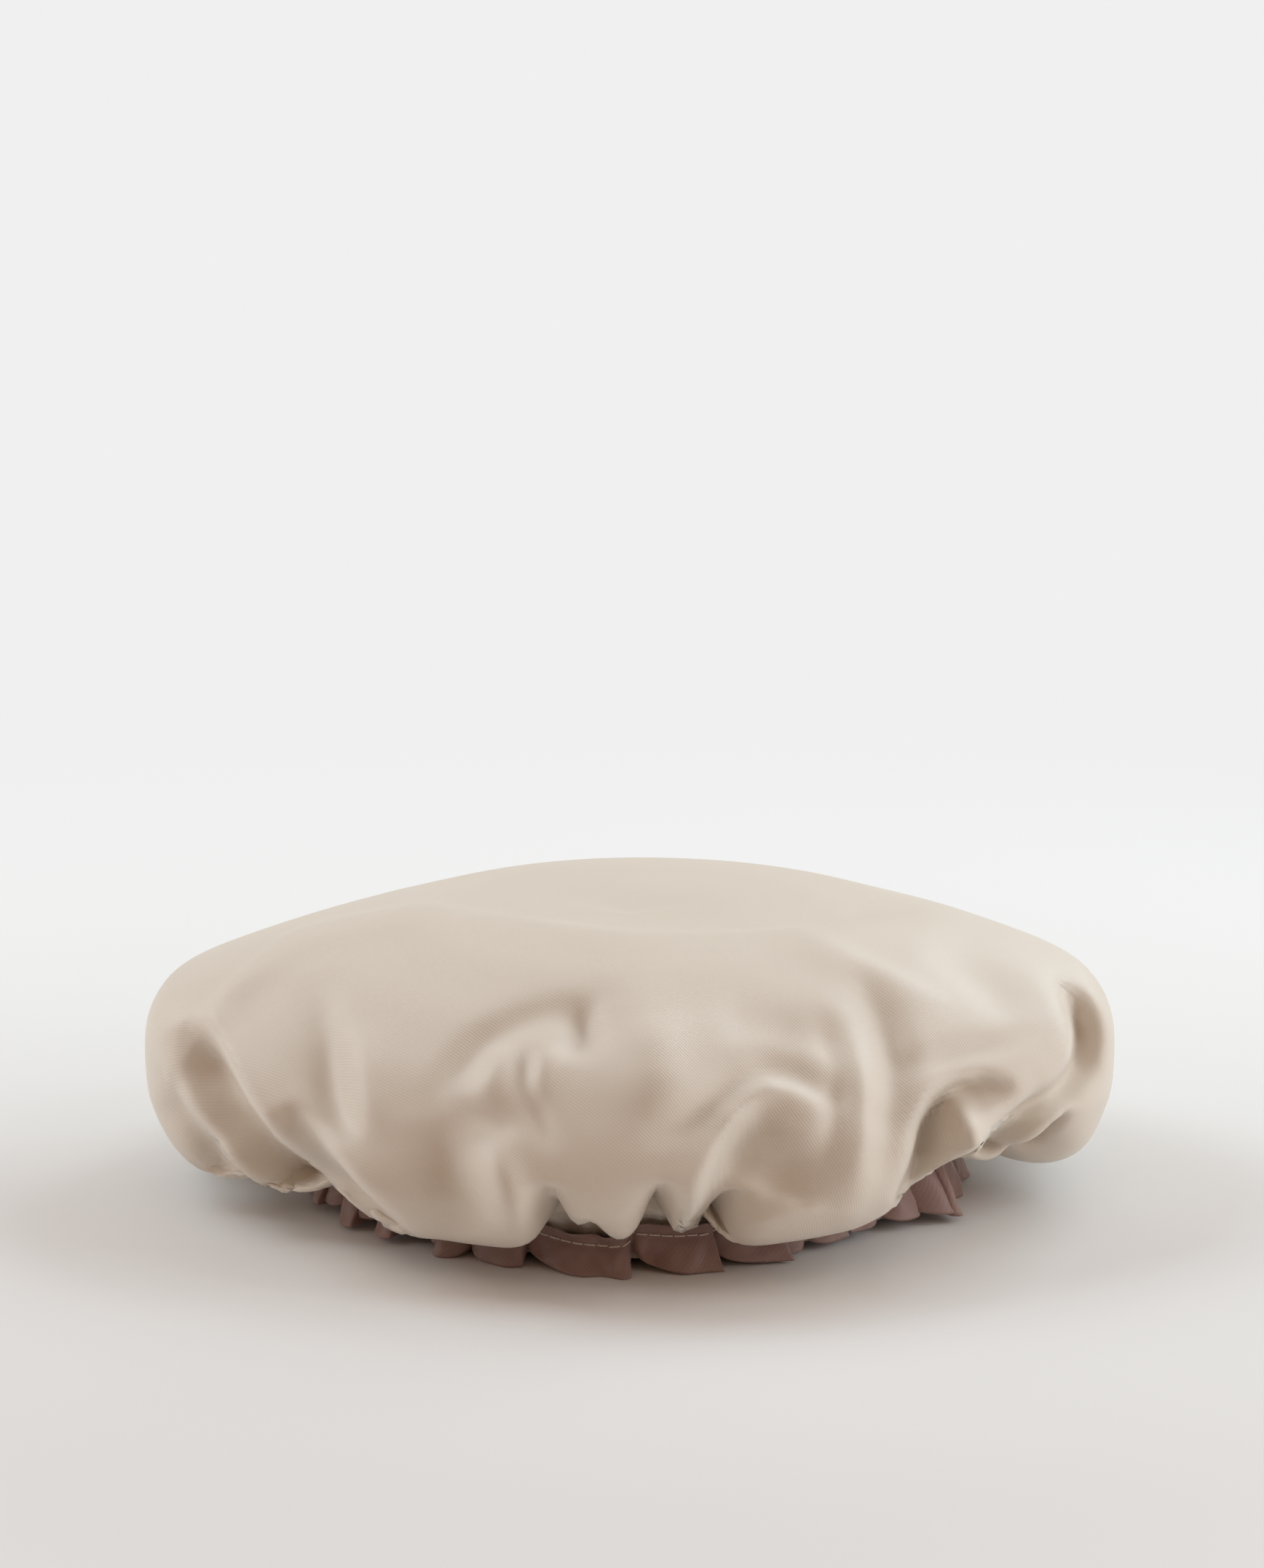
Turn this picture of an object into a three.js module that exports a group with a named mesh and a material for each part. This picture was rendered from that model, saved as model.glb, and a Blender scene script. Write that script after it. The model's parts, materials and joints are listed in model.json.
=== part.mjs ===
// A satin shower cap lying on its gathered edge. A puffed round shell of satin and a waterproof lining
// are bound together into a folded casing, and a ring of elastic inside the casing draws the opening in.
// Millimetres, +Z up. The origin is on the floor, on the axis of the elastic. The front faces -Y.

import * as THREE from "three";

// Puffed crown. The cloth stands out farthest at the two flanks, which are upright and hang low. The front
// is drawn in and rounds off early, and the back is short and full.
const crownRadius = 137.5; // plan radius of the flanks
const crownDepth = 125.5; // plan radius of the front and the back
const crownHeight = 78; // floor to the top of the crown
const crownSway = 1; // height of the two soft waves that cross the crown
const flankTop = 45; // floor to where the upright flank ends and the crown begins
const flankBottom = 32; // floor to where the upright flank ends and turns under
const flankFullness = 2.1; // superellipse power of the crown there: 1 is a cone, 2 is an ellipse
const flankFloorGap = 8; // floor to the lowest point of a puff of the flank
const flankOverhang = 23; // how far that point stands out past the casing
const frontTop = 31; // the same five sizes at the front
const frontBottom = 26;
const frontFullness = 2;
const frontFloorGap = 9;
const frontOverhang = 11;
const backTop = 37; // and at the back
const backBottom = 31;
const backFullness = 2.6;
const backFloorGap = 12;
const backOverhang = 12;
const skirtFullness = 2; // superellipse power of the turn under the side

// Cloth and thread
const shellWall = 0.6;
const liningWall = 0.5;
const layerGap = 0.4; // air between the shell and the lining
const seamClearance = 0.35; // air between the casing and what it binds
const threadDiameter = 0.5;

// Gathered edge
const gatherRadius = 88; // from the axis to the middle of the gathered seam
const casingHeight = 13; // finished width of the folded casing
const casingWall = 0.6;
const casingFlare = 6; // how far a billow of the casing stands out at its fold
const innerFlare = 1.2; // the same on the side towards the head
const billowCount = 24;
const billowDrift = 0.12; // how unevenly the billows are spaced, as a share of a turn of the wave
const billowLift = 1.4; // how far the casing rises off the floor between two billows
const restDepth = 0.3; // how much of a billow is pressed flat by the floor
const stitchDrop = 3; // top of the casing to the topstitch
const neckRise = 4; // how far the cloth climbs above the casing before it turns out
const neckRoll = 3.5; // how far out the turn reaches
const pinchGap = 2.5; // height of the cloth over the casing where two puffs meet
const pinchRoom = 1.5; // how far outside the turn of the cloth they meet

// Elastic
const elasticWidth = 5;
const elasticThickness = 0.8;
const elasticOverlap = 16; // length of the two sewn ends that lie on each other
const elasticPlyGap = 0.4; // between those two ends
const rawEdgeGap = 0.5; // between the elastic and the raw edges of the cloth above it

// The main folds, clockwise from the front seen from above: the azimuth where each one meets the casing,
// how far it leans by the time it reaches the shoulder, in degrees, how far up the side it reaches, as a
// share, and how deep it is.
const folds = [
  { azimuth: -84, lean: 0, reach: 0.5, depth: 10 },
  { azimuth: -65, lean: 0, reach: 0.8, depth: 14 },
  { azimuth: -43, lean: -5, reach: 0.65, depth: 13 },
  { azimuth: -10, lean: 0, reach: 0.45, depth: 10 },
  { azimuth: 3, lean: 1, reach: 0.4, depth: 8 },
  { azimuth: 11, lean: 9, reach: 0.6, depth: 8 },
  { azimuth: 57, lean: -4, reach: 0.7, depth: 16 },
  { azimuth: 71, lean: -6, reach: 0.65, depth: 14 },
  { azimuth: 92, lean: -5, reach: 0.6, depth: 10 },
  { azimuth: 112, lean: -3, reach: 0.6, depth: 9 },
  { azimuth: 136, lean: 2, reach: 0.8, depth: 11 },
  { azimuth: 158, lean: -2, reach: 0.5, depth: 9 },
  { azimuth: 181, lean: 3, reach: 0.7, depth: 10 },
  { azimuth: 204, lean: 0, reach: 0.5, depth: 9 },
  { azimuth: 228, lean: -3, reach: 0.85, depth: 12 },
  { azimuth: 252, lean: 3, reach: 0.6, depth: 9 },
];

// The broad hollows of the front: the azimuth and height of the middle of each, its half width round the
// cap and up the cap, and its depth.
const hollows = [
  { azimuth: -19, height: 62, width: 22, rise: 9, depth: 6 },
  { azimuth: -29, height: 26, width: 12, rise: 14, depth: 5 },
  { azimuth: 20, height: 30, width: 13, rise: 13, depth: 9 },
  { azimuth: 41, height: 40, width: 12, rise: 16, depth: 6 },
];

// Facets
const columnAngle = 7; // widest step between two columns of the cloth, in degrees
const leastPuffColumns = 4;
const columnsPerBillow = 4;
const elasticSteps = 72;
const threadSteps = 96;
const threadSides = 5;
const miterLimit = 3;

// Sizes that follow from the ones above
const stackHalf = (shellWall + layerGap + liningWall) / 2;
const shellNeckRadius = gatherRadius + stackHalf - shellWall / 2;
const liningInset = (shellWall + liningWall) / 2 + layerGap;
const seamHalf = stackHalf + seamClearance + casingWall / 2;
const pocketHalf = elasticThickness + elasticPlyGap / 2 + seamClearance + casingWall / 2;
const stitchHeight = casingHeight - stitchDrop;
const elasticBottom = casingWall + billowLift + seamClearance;
const rawEdgeHeight = elasticBottom + elasticWidth + rawEdgeGap;
const neckHeight = casingHeight + neckRise;
const casingRadius = gatherRadius + pocketHalf + casingFlare;
const pinchHeight = casingHeight + pinchGap;
const pinchRadius = shellNeckRadius + neckRoll + pinchRoom;

const radians = THREE.MathUtils.degToRad;
const smoothstep = THREE.MathUtils.smoothstep;
const lerp = THREE.MathUtils.lerp;

// A point at a radius, height and azimuth. Azimuth 0 is the front and grows towards +X.
function polar(radius, height, azimuth) {
  return new THREE.Vector3(radius * Math.sin(azimuth), -radius * Math.cos(azimuth), height);
}

// The sizes of the meridian at an azimuth, between those of the front, the flank and the back.
function outlineAt(azimuth) {
  const ahead = smoothstep(Math.cos(azimuth), 0.1, 0.95);
  const behind = smoothstep(-Math.cos(azimuth), 0.1, 0.95);
  const blend = (front, flank, back) => front * ahead + flank * (1 - ahead - behind) + back * behind;
  return {
    radius: blend(crownDepth, crownRadius, crownDepth),
    top: blend(frontTop, flankTop, backTop),
    bottom: blend(frontBottom, flankBottom, backBottom),
    fullness: blend(frontFullness, flankFullness, backFullness),
    floorGap: blend(frontFloorGap, flankFloorGap, backFloorGap),
    puffRadius: casingRadius + blend(frontOverhang, flankOverhang, backOverhang),
  };
}

// The meridian over the crown, at an angle from the top: 90 degrees is the top of the upright side.
function crownPoint(angle, { radius, top, fullness }) {
  const power = 2 / fullness;
  const out = radius * Math.sin(radians(angle)) ** power;
  const height = top + (crownHeight - top) * Math.cos(radians(angle)) ** power;
  return new THREE.Vector2(out, height);
}

// The meridian from the foot of the upright side, at 0 degrees, round to the lowest point of a puff.
function skirtPoint(angle, { radius, bottom, floorGap, puffRadius }) {
  const power = 2 / skirtFullness;
  const out = puffRadius + (radius - puffRadius) * Math.cos(radians(angle)) ** power;
  const height = bottom - (bottom - floorGap) * Math.sin(radians(angle)) ** power;
  return new THREE.Vector2(out, height);
}

// The rings of the cloth from the crown to the raw edge. The side runs from 0 at the shoulder to 1 at
// the lowest point of a puff and beyond, and tells how far a fold has come. The tuck is 1 where the
// puffs hang. A ring has every column, or every second or fourth one.
const rings = [
  { place: (outline) => crownPoint(0, outline), side: 0, tuck: 0, every: 1 },
  { place: (outline) => crownPoint(20, outline), side: 0, tuck: 0, every: 4 },
  { place: (outline) => crownPoint(42, outline), side: 0, tuck: 0, every: 2 },
  { place: (outline) => crownPoint(66, outline), side: 0.2, tuck: 0, every: 1 },
  { place: (outline) => crownPoint(90, outline), side: 0.5, tuck: 0, every: 1 },
  { place: (outline) => skirtPoint(0, outline), side: 0.7, tuck: 0, every: 1 },
  { place: (outline) => skirtPoint(45, outline), side: 0.9, tuck: 0.5, every: 1 },
  { place: (outline) => skirtPoint(90, outline), side: 1, tuck: 1, every: 1 },
  { place: () => new THREE.Vector2(shellNeckRadius + neckRoll, neckHeight), side: 1, tuck: 0, every: 1 },
  { place: () => new THREE.Vector2(shellNeckRadius, neckHeight - neckRise / 2), side: 1, tuck: 0, every: 1 },
  { place: () => new THREE.Vector2(shellNeckRadius, rawEdgeHeight), side: 1, tuck: 0, every: 1 },
];

// The azimuth of a fold at a place on the side, in radians.
function foldAzimuth(fold, side) {
  return radians(fold.azimuth + fold.lean * (1 - side));
}

// The fold that comes after one, with an azimuth that goes on past a full turn.
function foldAfter(index) {
  const next = folds[(index + 1) % folds.length];
  return index + 1 < folds.length ? next : { ...next, azimuth: next.azimuth + 360 };
}

// The columns of the cloth. Each puff, from one fold to the next, is cut into equal steps.
const columns = folds.flatMap((first, index) => {
  const second = foldAfter(index);
  const fitting = Math.ceil((second.azimuth - first.azimuth) / columnAngle);
  const steps = Math.max(fitting, leastPuffColumns);
  return Array.from({ length: steps }, (_, step) => ({ first, second, share: step / steps }));
});

// How deep a fold is at a place on the side: full at the casing, fading out at its reach.
function foldDepth(fold, side) {
  return fold.depth * smoothstep(side, 1 - fold.reach, 1);
}

// How far the hollows draw the cloth in at a place on the meridian.
function hollowDepth(azimuth, { x: radius, y: height }) {
  const depths = hollows.map((hollow) => {
    const around = ((azimuth - radians(hollow.azimuth)) * radius) / hollow.width;
    const upward = (height - hollow.height) / hollow.rise;
    return hollow.depth * Math.exp(-(around ** 2) - upward ** 2);
  });
  return depths.reduce((sum, depth) => sum + depth, 0);
}

// The middle line of the shell down one column: radius and height at each ring, with its azimuths.
function shellColumn({ first, second, share }) {
  const valley = 1 - Math.sin(Math.PI * share) ** 0.7;
  const azimuths = [];
  const line = rings.map(({ place, side, tuck }) => {
    const azimuth = lerp(foldAzimuth(first, side), foldAzimuth(second, side), share);
    const depth = lerp(foldDepth(first, side), foldDepth(second, side), share);
    const outline = outlineAt(azimuth);
    const full = place(outline);
    const outward = new THREE.Vector2(full.x, full.y - outline.bottom).normalize();
    const smooth = full.clone().addScaledVector(outward, side < 1 ? -hollowDepth(azimuth, full) : 0);
    const onCrown = (smooth.x / outline.radius) ** 2 * Math.max(1 - 2 * side, 0) ** 2;
    const hang = smooth.y + crownSway * Math.sin(2 * azimuth + 0.6) * onCrown;
    const lift = Math.max(pinchHeight - hang, 0) * valley * tuck;
    const room = Math.max(smooth.x - pinchRadius, 0);
    azimuths.push(azimuth);
    return new THREE.Vector2(smooth.x - Math.min(depth, room) * valley, hang + lift);
  });
  return { line, azimuths };
}

// A line moved sideways by a distance, to its left when walked from first to last.
function offsetLine(line, distance) {
  return line.map((point, i) => {
    const before = point.clone().sub(line[Math.max(i - 1, 0)]).normalize();
    const after = line[Math.min(i + 1, line.length - 1)].clone().sub(point).normalize();
    const along = before.clone().add(after).normalize();
    const turn = i > 0 && i < line.length - 1 ? along.dot(before) : 1;
    const reach = distance * Math.min(1 / Math.max(turn, 1e-6), miterLimit);
    return new THREE.Vector2(point.x - along.y * reach, point.y + along.x * reach);
  });
}

// Collects points and triangles into a closed geometry.
class SolidBuilder {
  positions = [];
  indices = [];

  add(point) {
    this.positions.push(point.x, point.y, point.z);
    return this.positions.length / 3 - 1;
  }

  triangle(a, b, c) {
    this.indices.push(a, b, c);
  }

  quad(a, b, c, d) {
    this.triangle(a, b, c);
    this.triangle(a, c, d);
  }

  geometry() {
    const made = new THREE.BufferGeometry();
    made.setAttribute("position", new THREE.Float32BufferAttribute(this.positions, 3));
    made.setIndex(this.indices);
    made.computeVertexNormals();
    return made;
  }
}

// Joins two rings of vertices, which may differ in number, by walking round both in step.
function joinRings(solid, upper, lower, flipped) {
  const face = (a, b, c) => (flipped ? solid.triangle(a, c, b) : solid.triangle(a, b, c));
  const at = (ring, i) => ring[i % ring.length];
  const azimuth = (ring, i) => at(ring, i).azimuth + (i < ring.length ? 0 : 2 * Math.PI);
  let u = 0;
  let l = 0;
  while (u < upper.length || l < lower.length) {
    const upperIsNext = azimuth(upper, u + 1) <= azimuth(lower, l + 1);
    if (l === lower.length || (u < upper.length && upperIsNext)) {
      face(at(upper, u).vertex, at(lower, l).vertex, at(upper, u + 1).vertex);
      u += 1;
    } else {
      face(at(upper, u).vertex, at(lower, l).vertex, at(lower, l + 1).vertex);
      l += 1;
    }
  }
}

// One face of a sheet of cloth: rings of vertices from the crown to the raw edge.
function clothFace(solid, inset, flipped) {
  const lines = columns.map((column) => {
    const { line, azimuths } = shellColumn(column);
    return { line: offsetLine(line, inset), azimuths };
  });
  const crown = solid.add(new THREE.Vector3(0, 0, lines[0].line[0].y));
  const loops = rings.slice(1).map(({ every }, i) => {
    const chosen = lines.filter((_, c) => c % every === 0);
    return chosen.map(({ line, azimuths }) => {
      const place = line[i + 1];
      const azimuth = azimuths[i + 1];
      return { azimuth, vertex: solid.add(polar(place.x, place.y, azimuth)) };
    });
  });
  loops[0].forEach(({ vertex }, i) => {
    const next = loops[0][(i + 1) % loops[0].length].vertex;
    solid.triangle(crown, flipped ? next : vertex, flipped ? vertex : next);
  });
  loops.slice(1).forEach((lower, i) => joinRings(solid, loops[i], lower, flipped));
  return loops.at(-1);
}

// A sheet of cloth of a thickness whose middle lies at an inset from the shell's middle line.
function clothGeometry(inset, thickness) {
  const solid = new SolidBuilder();
  const outer = clothFace(solid, thickness / 2 - inset, false);
  const inner = clothFace(solid, -thickness / 2 - inset, true);
  joinRings(solid, outer, inner, false);
  return solid.geometry();
}

// How far out the casing billows at an azimuth: 0 in a pinch and 1 in the middle of a billow.
function billowAt(step) {
  return Math.sin((Math.PI * (step % columnsPerBillow)) / columnsPerBillow);
}

// The azimuth of a step round the casing, with the billows unevenly spaced.
function billowAzimuth(step) {
  const turn = (2 * Math.PI * step) / (billowCount * columnsPerBillow);
  const pitch = (2 * Math.PI) / billowCount;
  return turn + pitch * billowDrift * (Math.sin(3 * turn) + 2 * Math.sin(5 * turn + 2));
}

// The middle line of the folded casing at a step: down its outer side, round the fold and up inside.
function casingLine(step) {
  const billow = billowAt(step);
  const lift = Math.max(billowLift * (1 - billow) ** 2 - restDepth, 0);
  const foldHeight = casingWall / 2 + lift;
  return [
    new THREE.Vector2(gatherRadius + seamHalf, casingHeight),
    new THREE.Vector2(gatherRadius + pocketHalf, stitchHeight),
    new THREE.Vector2(gatherRadius + pocketHalf + casingFlare * billow, foldHeight),
    new THREE.Vector2(gatherRadius - pocketHalf - innerFlare * billow, foldHeight),
    new THREE.Vector2(gatherRadius - pocketHalf, stitchHeight),
    new THREE.Vector2(gatherRadius - seamHalf, casingHeight),
  ];
}

// The casing: a strip folded into a U round the elastic, gathered into billows.
function casingGeometry() {
  const solid = new SolidBuilder();
  const steps = billowCount * columnsPerBillow;
  const sections = Array.from({ length: steps }, (_, step) => {
    const line = casingLine(step);
    const outside = offsetLine(line, -casingWall / 2);
    const inside = offsetLine(line, casingWall / 2);
    const outline = [...outside, ...inside.reverse()];
    return outline.map((place) => solid.add(polar(place.x, place.y, billowAzimuth(step))));
  });
  sections.forEach((section, step) => {
    const next = sections[(step + 1) % steps];
    section.forEach((corner, i) => {
      const after = (i + 1) % section.length;
      solid.quad(corner, next[i], next[after], section[after]);
    });
  });
  return solid.geometry();
}

// The elastic: one flat strip wound a little over a full turn, so that its ends lie on each other.
function elasticGeometry() {
  const solid = new SolidBuilder();
  const overlapTurn = elasticOverlap / gatherRadius;
  const windTurn = 2 * Math.PI + overlapTurn;
  const plyStep = elasticThickness + elasticPlyGap;
  const sections = Array.from({ length: elasticSteps + 1 }, (_, step) => {
    const turn = (windTurn * step) / elasticSteps;
    const middle = gatherRadius + plyStep * (turn / windTurn - 0.5);
    const corners = [
      [middle - elasticThickness / 2, elasticBottom],
      [middle + elasticThickness / 2, elasticBottom],
      [middle + elasticThickness / 2, elasticBottom + elasticWidth],
      [middle - elasticThickness / 2, elasticBottom + elasticWidth],
    ];
    return corners.map(([radius, height]) => solid.add(polar(radius, height, Math.PI + turn)));
  });
  sections.slice(1).forEach((section, i) => {
    section.forEach((corner, k) => {
      const after = (k + 1) % section.length;
      solid.quad(sections[i][k], corner, section[after], sections[i][after]);
    });
  });
  solid.quad(...sections[0]);
  solid.quad(...sections.at(-1).reverse());
  return solid.geometry();
}

// A line of thread round the seam, lying on the outer or the inner side of the casing.
function threadGeometry(radius) {
  const ring = new THREE.TorusGeometry(radius, threadDiameter / 2, threadSides, threadSteps);
  ring.translate(0, 0, stitchHeight);
  return ring;
}

function material(color, roughness) {
  return new THREE.MeshStandardMaterial({ color, roughness, metalness: 0 });
}

const satin = material(0xdccfc0, 0.42);
const film = material(0xe9e4de, 0.3);
const trimSatin = material(0x8d6f68, 0.45);
const knitElastic = material(0xf1eee8, 0.8);
const paleThread = material(0xe6dcd2, 0.6);

const threadOffset = pocketHalf + casingWall / 2 + seamClearance + threadDiameter / 2;
const pieces = [
  ["outer_shell", clothGeometry(0, shellWall), satin],
  ["waterproof_lining", clothGeometry(liningInset, liningWall), film],
  ["edge_casing", casingGeometry(), trimSatin],
  ["elastic_band", elasticGeometry(), knitElastic],
  ["topstitch_thread", threadGeometry(gatherRadius + threadOffset), paleThread],
  ["bobbin_thread", threadGeometry(gatherRadius - threadOffset), paleThread],
];

const cap = new THREE.Group();
for (const [name, geometry, finish] of pieces) {
  const piece = new THREE.Mesh(geometry, finish);
  piece.name = name;
  cap.add(piece);
}

export default cap;
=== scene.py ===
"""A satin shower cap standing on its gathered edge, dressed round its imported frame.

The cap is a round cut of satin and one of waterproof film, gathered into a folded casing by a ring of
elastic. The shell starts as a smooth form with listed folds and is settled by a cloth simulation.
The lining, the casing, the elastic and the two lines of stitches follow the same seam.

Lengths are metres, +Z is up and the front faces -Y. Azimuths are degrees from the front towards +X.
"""

from __future__ import annotations

import json
import logging
import math
from dataclasses import dataclass
from dataclasses import field
from enum import Enum
from typing import Optional
from typing import Union

import bpy
import numpy as np
from mathutils import Matrix
from mathutils import Vector
from mathutils.bvhtree import BVHTree

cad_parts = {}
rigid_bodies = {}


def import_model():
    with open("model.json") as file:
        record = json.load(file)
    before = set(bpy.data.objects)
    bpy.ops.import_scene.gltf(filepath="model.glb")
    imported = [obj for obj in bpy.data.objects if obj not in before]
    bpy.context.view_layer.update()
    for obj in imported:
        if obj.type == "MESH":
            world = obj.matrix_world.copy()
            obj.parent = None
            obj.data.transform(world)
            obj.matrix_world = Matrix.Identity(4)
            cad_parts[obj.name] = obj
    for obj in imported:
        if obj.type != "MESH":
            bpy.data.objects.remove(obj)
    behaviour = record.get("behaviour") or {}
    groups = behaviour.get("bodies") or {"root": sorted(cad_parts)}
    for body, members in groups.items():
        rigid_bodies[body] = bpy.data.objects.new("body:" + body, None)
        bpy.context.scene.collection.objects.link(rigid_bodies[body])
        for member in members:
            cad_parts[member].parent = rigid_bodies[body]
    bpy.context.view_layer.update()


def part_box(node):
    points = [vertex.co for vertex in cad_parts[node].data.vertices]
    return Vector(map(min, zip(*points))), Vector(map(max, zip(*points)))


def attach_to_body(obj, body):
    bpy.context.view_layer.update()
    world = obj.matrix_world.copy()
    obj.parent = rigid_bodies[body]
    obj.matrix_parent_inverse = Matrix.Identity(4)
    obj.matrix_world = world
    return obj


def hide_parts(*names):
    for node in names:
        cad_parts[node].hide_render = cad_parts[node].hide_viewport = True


log = logging.getLogger("shower_cap")

MM = 0.001
TINY = 1e-12
IMAGE_WIDTH = 1736
IMAGE_HEIGHT = 2154
BODY = "root"
# How far inside the frame's elastic and shell the seam and the satin run
SEAM_INSET = 1 * MM
SHELL_INSET = 0.3 * MM
CUT_UV = "cut_pattern"

Colour = tuple[float, float, float]
Pair = tuple[float, float]
Value = Union[float, Colour, "Wire"]


class Piece(Enum):
    """The pieces of the cap, by the names of the frame's nodes."""

    SHELL = "outer_shell"
    LINING = "waterproof_lining"
    CASING = "edge_casing"
    ELASTIC = "elastic_band"
    TOPSTITCH = "topstitch_thread"
    BOBBIN = "bobbin_thread"


class Slot(Enum):
    """The record's material slots."""

    SATIN = "cream_satin"
    FILM = "frosted_film"
    TRIM = "mauve_satin"
    ELASTIC = "knit_elastic"
    THREAD = "pale_thread"


class Side(Enum):
    """A side of the casing: out of the cap, or in towards the head."""

    OUTER = 1
    INNER = -1


# Nodes and their sockets


class Wire:
    """A node's output that takes part in Python arithmetic by adding Math nodes."""

    def __init__(self, desk: "NodeDesk", socket: Optional[bpy.types.NodeSocket]) -> None:
        """Wraps an output socket of the desk's tree, or None for a node without outputs."""
        self.desk = desk
        self.socket = socket

    def _math(self, operation: str, first: Value, second: Value) -> "Wire":
        """The output of a new Math node with an operation and two values or wires."""
        return self.desk.node("ShaderNodeMath", {"operation": operation}, {0: first, 1: second})

    def __add__(self, other: Value) -> "Wire":
        """Self plus other."""
        return self._math("ADD", self, other)

    def __radd__(self, other: Value) -> "Wire":
        """Other plus self."""
        return self._math("ADD", other, self)

    def __sub__(self, other: Value) -> "Wire":
        """Self minus other."""
        return self._math("SUBTRACT", self, other)

    def __rsub__(self, other: Value) -> "Wire":
        """Other minus self."""
        return self._math("SUBTRACT", other, self)

    def __mul__(self, other: Value) -> "Wire":
        """Self times other."""
        return self._math("MULTIPLY", self, other)

    def __rmul__(self, other: Value) -> "Wire":
        """Other times self."""
        return self._math("MULTIPLY", other, self)

    def sine(self) -> "Wire":
        """The sine of self, in radians."""
        return self._math("SINE", self, 0.0)

    def ripple(self) -> "Wire":
        """The sine of self, brought to a range from 0 to 1."""
        return self.sine() * 0.5 + 0.5

    def at_most(self, other: Value) -> "Wire":
        """The lesser of self and other."""
        return self._math("MINIMUM", self, other)


class NodeDesk:
    """A node tree, with the one method that adds nodes to it."""

    def __init__(self, tree: bpy.types.NodeTree) -> None:
        """Takes the tree that the nodes go into."""
        self.tree = tree

    def node(
        self,
        kind: str,
        settings: Optional[dict[str, object]] = None,
        sockets: Optional[dict[Union[int, str], object]] = None,
        out: Union[int, str] = 0,
    ) -> Wire:
        """Adds a node.

        Args:
            kind: The node's type.
            settings: Its properties.
            sockets: Its inputs, by name or number, as values or wires.
            out: The output to return.

        Returns:
            The chosen output, or an empty wire for a node without outputs.
        """
        made = self.tree.nodes.new(kind)
        for name, setting in (settings or {}).items():
            setattr(made, name, setting)
        for key, value in (sockets or {}).items():
            if isinstance(value, Wire):
                self.tree.links.new(value.socket, made.inputs[key])
            else:
                made.inputs[key].default_value = self._fitted(made.inputs[key], value)
        return Wire(self, made.outputs[out] if made.outputs else None)

    @staticmethod
    def _fitted(socket: bpy.types.NodeSocket, value: object) -> object:
        """Gives a colour its alpha where the socket needs one.

        Args:
            socket: The input.
            value: A number, a colour or a vector.

        Returns:
            The value in the socket's own length.
        """
        if socket.type == "RGBA" and len(value) == 3:
            return (*value, 1.0)
        return value


class ShaderDesk(NodeDesk):
    """A new material's node tree."""

    def __init__(self, name: str) -> None:
        """Makes an empty material.

        Args:
            name: The material's name.
        """
        self.material = bpy.data.materials.new(name)
        self.material.use_nodes = True
        super().__init__(self.material.node_tree)
        self.tree.nodes.clear()

    def mix(self, factor: Value, first: Value, second: Value) -> Wire:
        """Mixes two colours or wires: the first at a factor of 0, the second at 1."""
        return self.node("ShaderNodeMix", {"data_type": "RGBA"}, {0: factor, 6: first, 7: second}, 2)

    def noise(self, place: Wire, rate: float, detail: float) -> Wire:
        """A noise value from 0 to 1, with its features per metre and its octaves."""
        return self.node("ShaderNodeTexNoise", {}, {"Vector": place, "Scale": rate, "Detail": detail})

    def cut_axes(self) -> tuple[Wire, Wire, Wire]:
        """The place on the flat cut of the cloth, in metres.

        Returns:
            The whole vector, its width and its length.
        """
        place = self.node("ShaderNodeUVMap", {"uv_map": CUT_UV})
        across = self.node("ShaderNodeSeparateXYZ", {}, {0: place}, 0)
        along = self.node("ShaderNodeSeparateXYZ", {}, {0: place}, 1)
        return place, across, along

    def bump(self, height: Wire, depth: float, strength: float, under: Optional[Wire] = None) -> Wire:
        """A bumped normal.

        Args:
            height: The height, from 0 to 1.
            depth: The depth that 1 stands for.
            strength: The share of the bump that shows.
            under: The normal that this one adds to, where there is one.

        Returns:
            The normal.
        """
        sockets = {"Strength": strength, "Distance": depth, "Height": height}
        if under is not None:
            sockets["Normal"] = under
        return self.node("ShaderNodeBump", {}, sockets)

    def principled(self, sockets: dict[Union[int, str], object]) -> bpy.types.Material:
        """Finishes the material with a Principled shader of these inputs, and returns it."""
        return self.surface(self.node("ShaderNodeBsdfPrincipled", {}, sockets))

    def surface(self, shader: Wire) -> bpy.types.Material:
        """Links a shader to the material's output, and returns the finished material."""
        self.node("ShaderNodeOutputMaterial", {}, {"Surface": shader})
        return self.material


# Finishes


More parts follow.
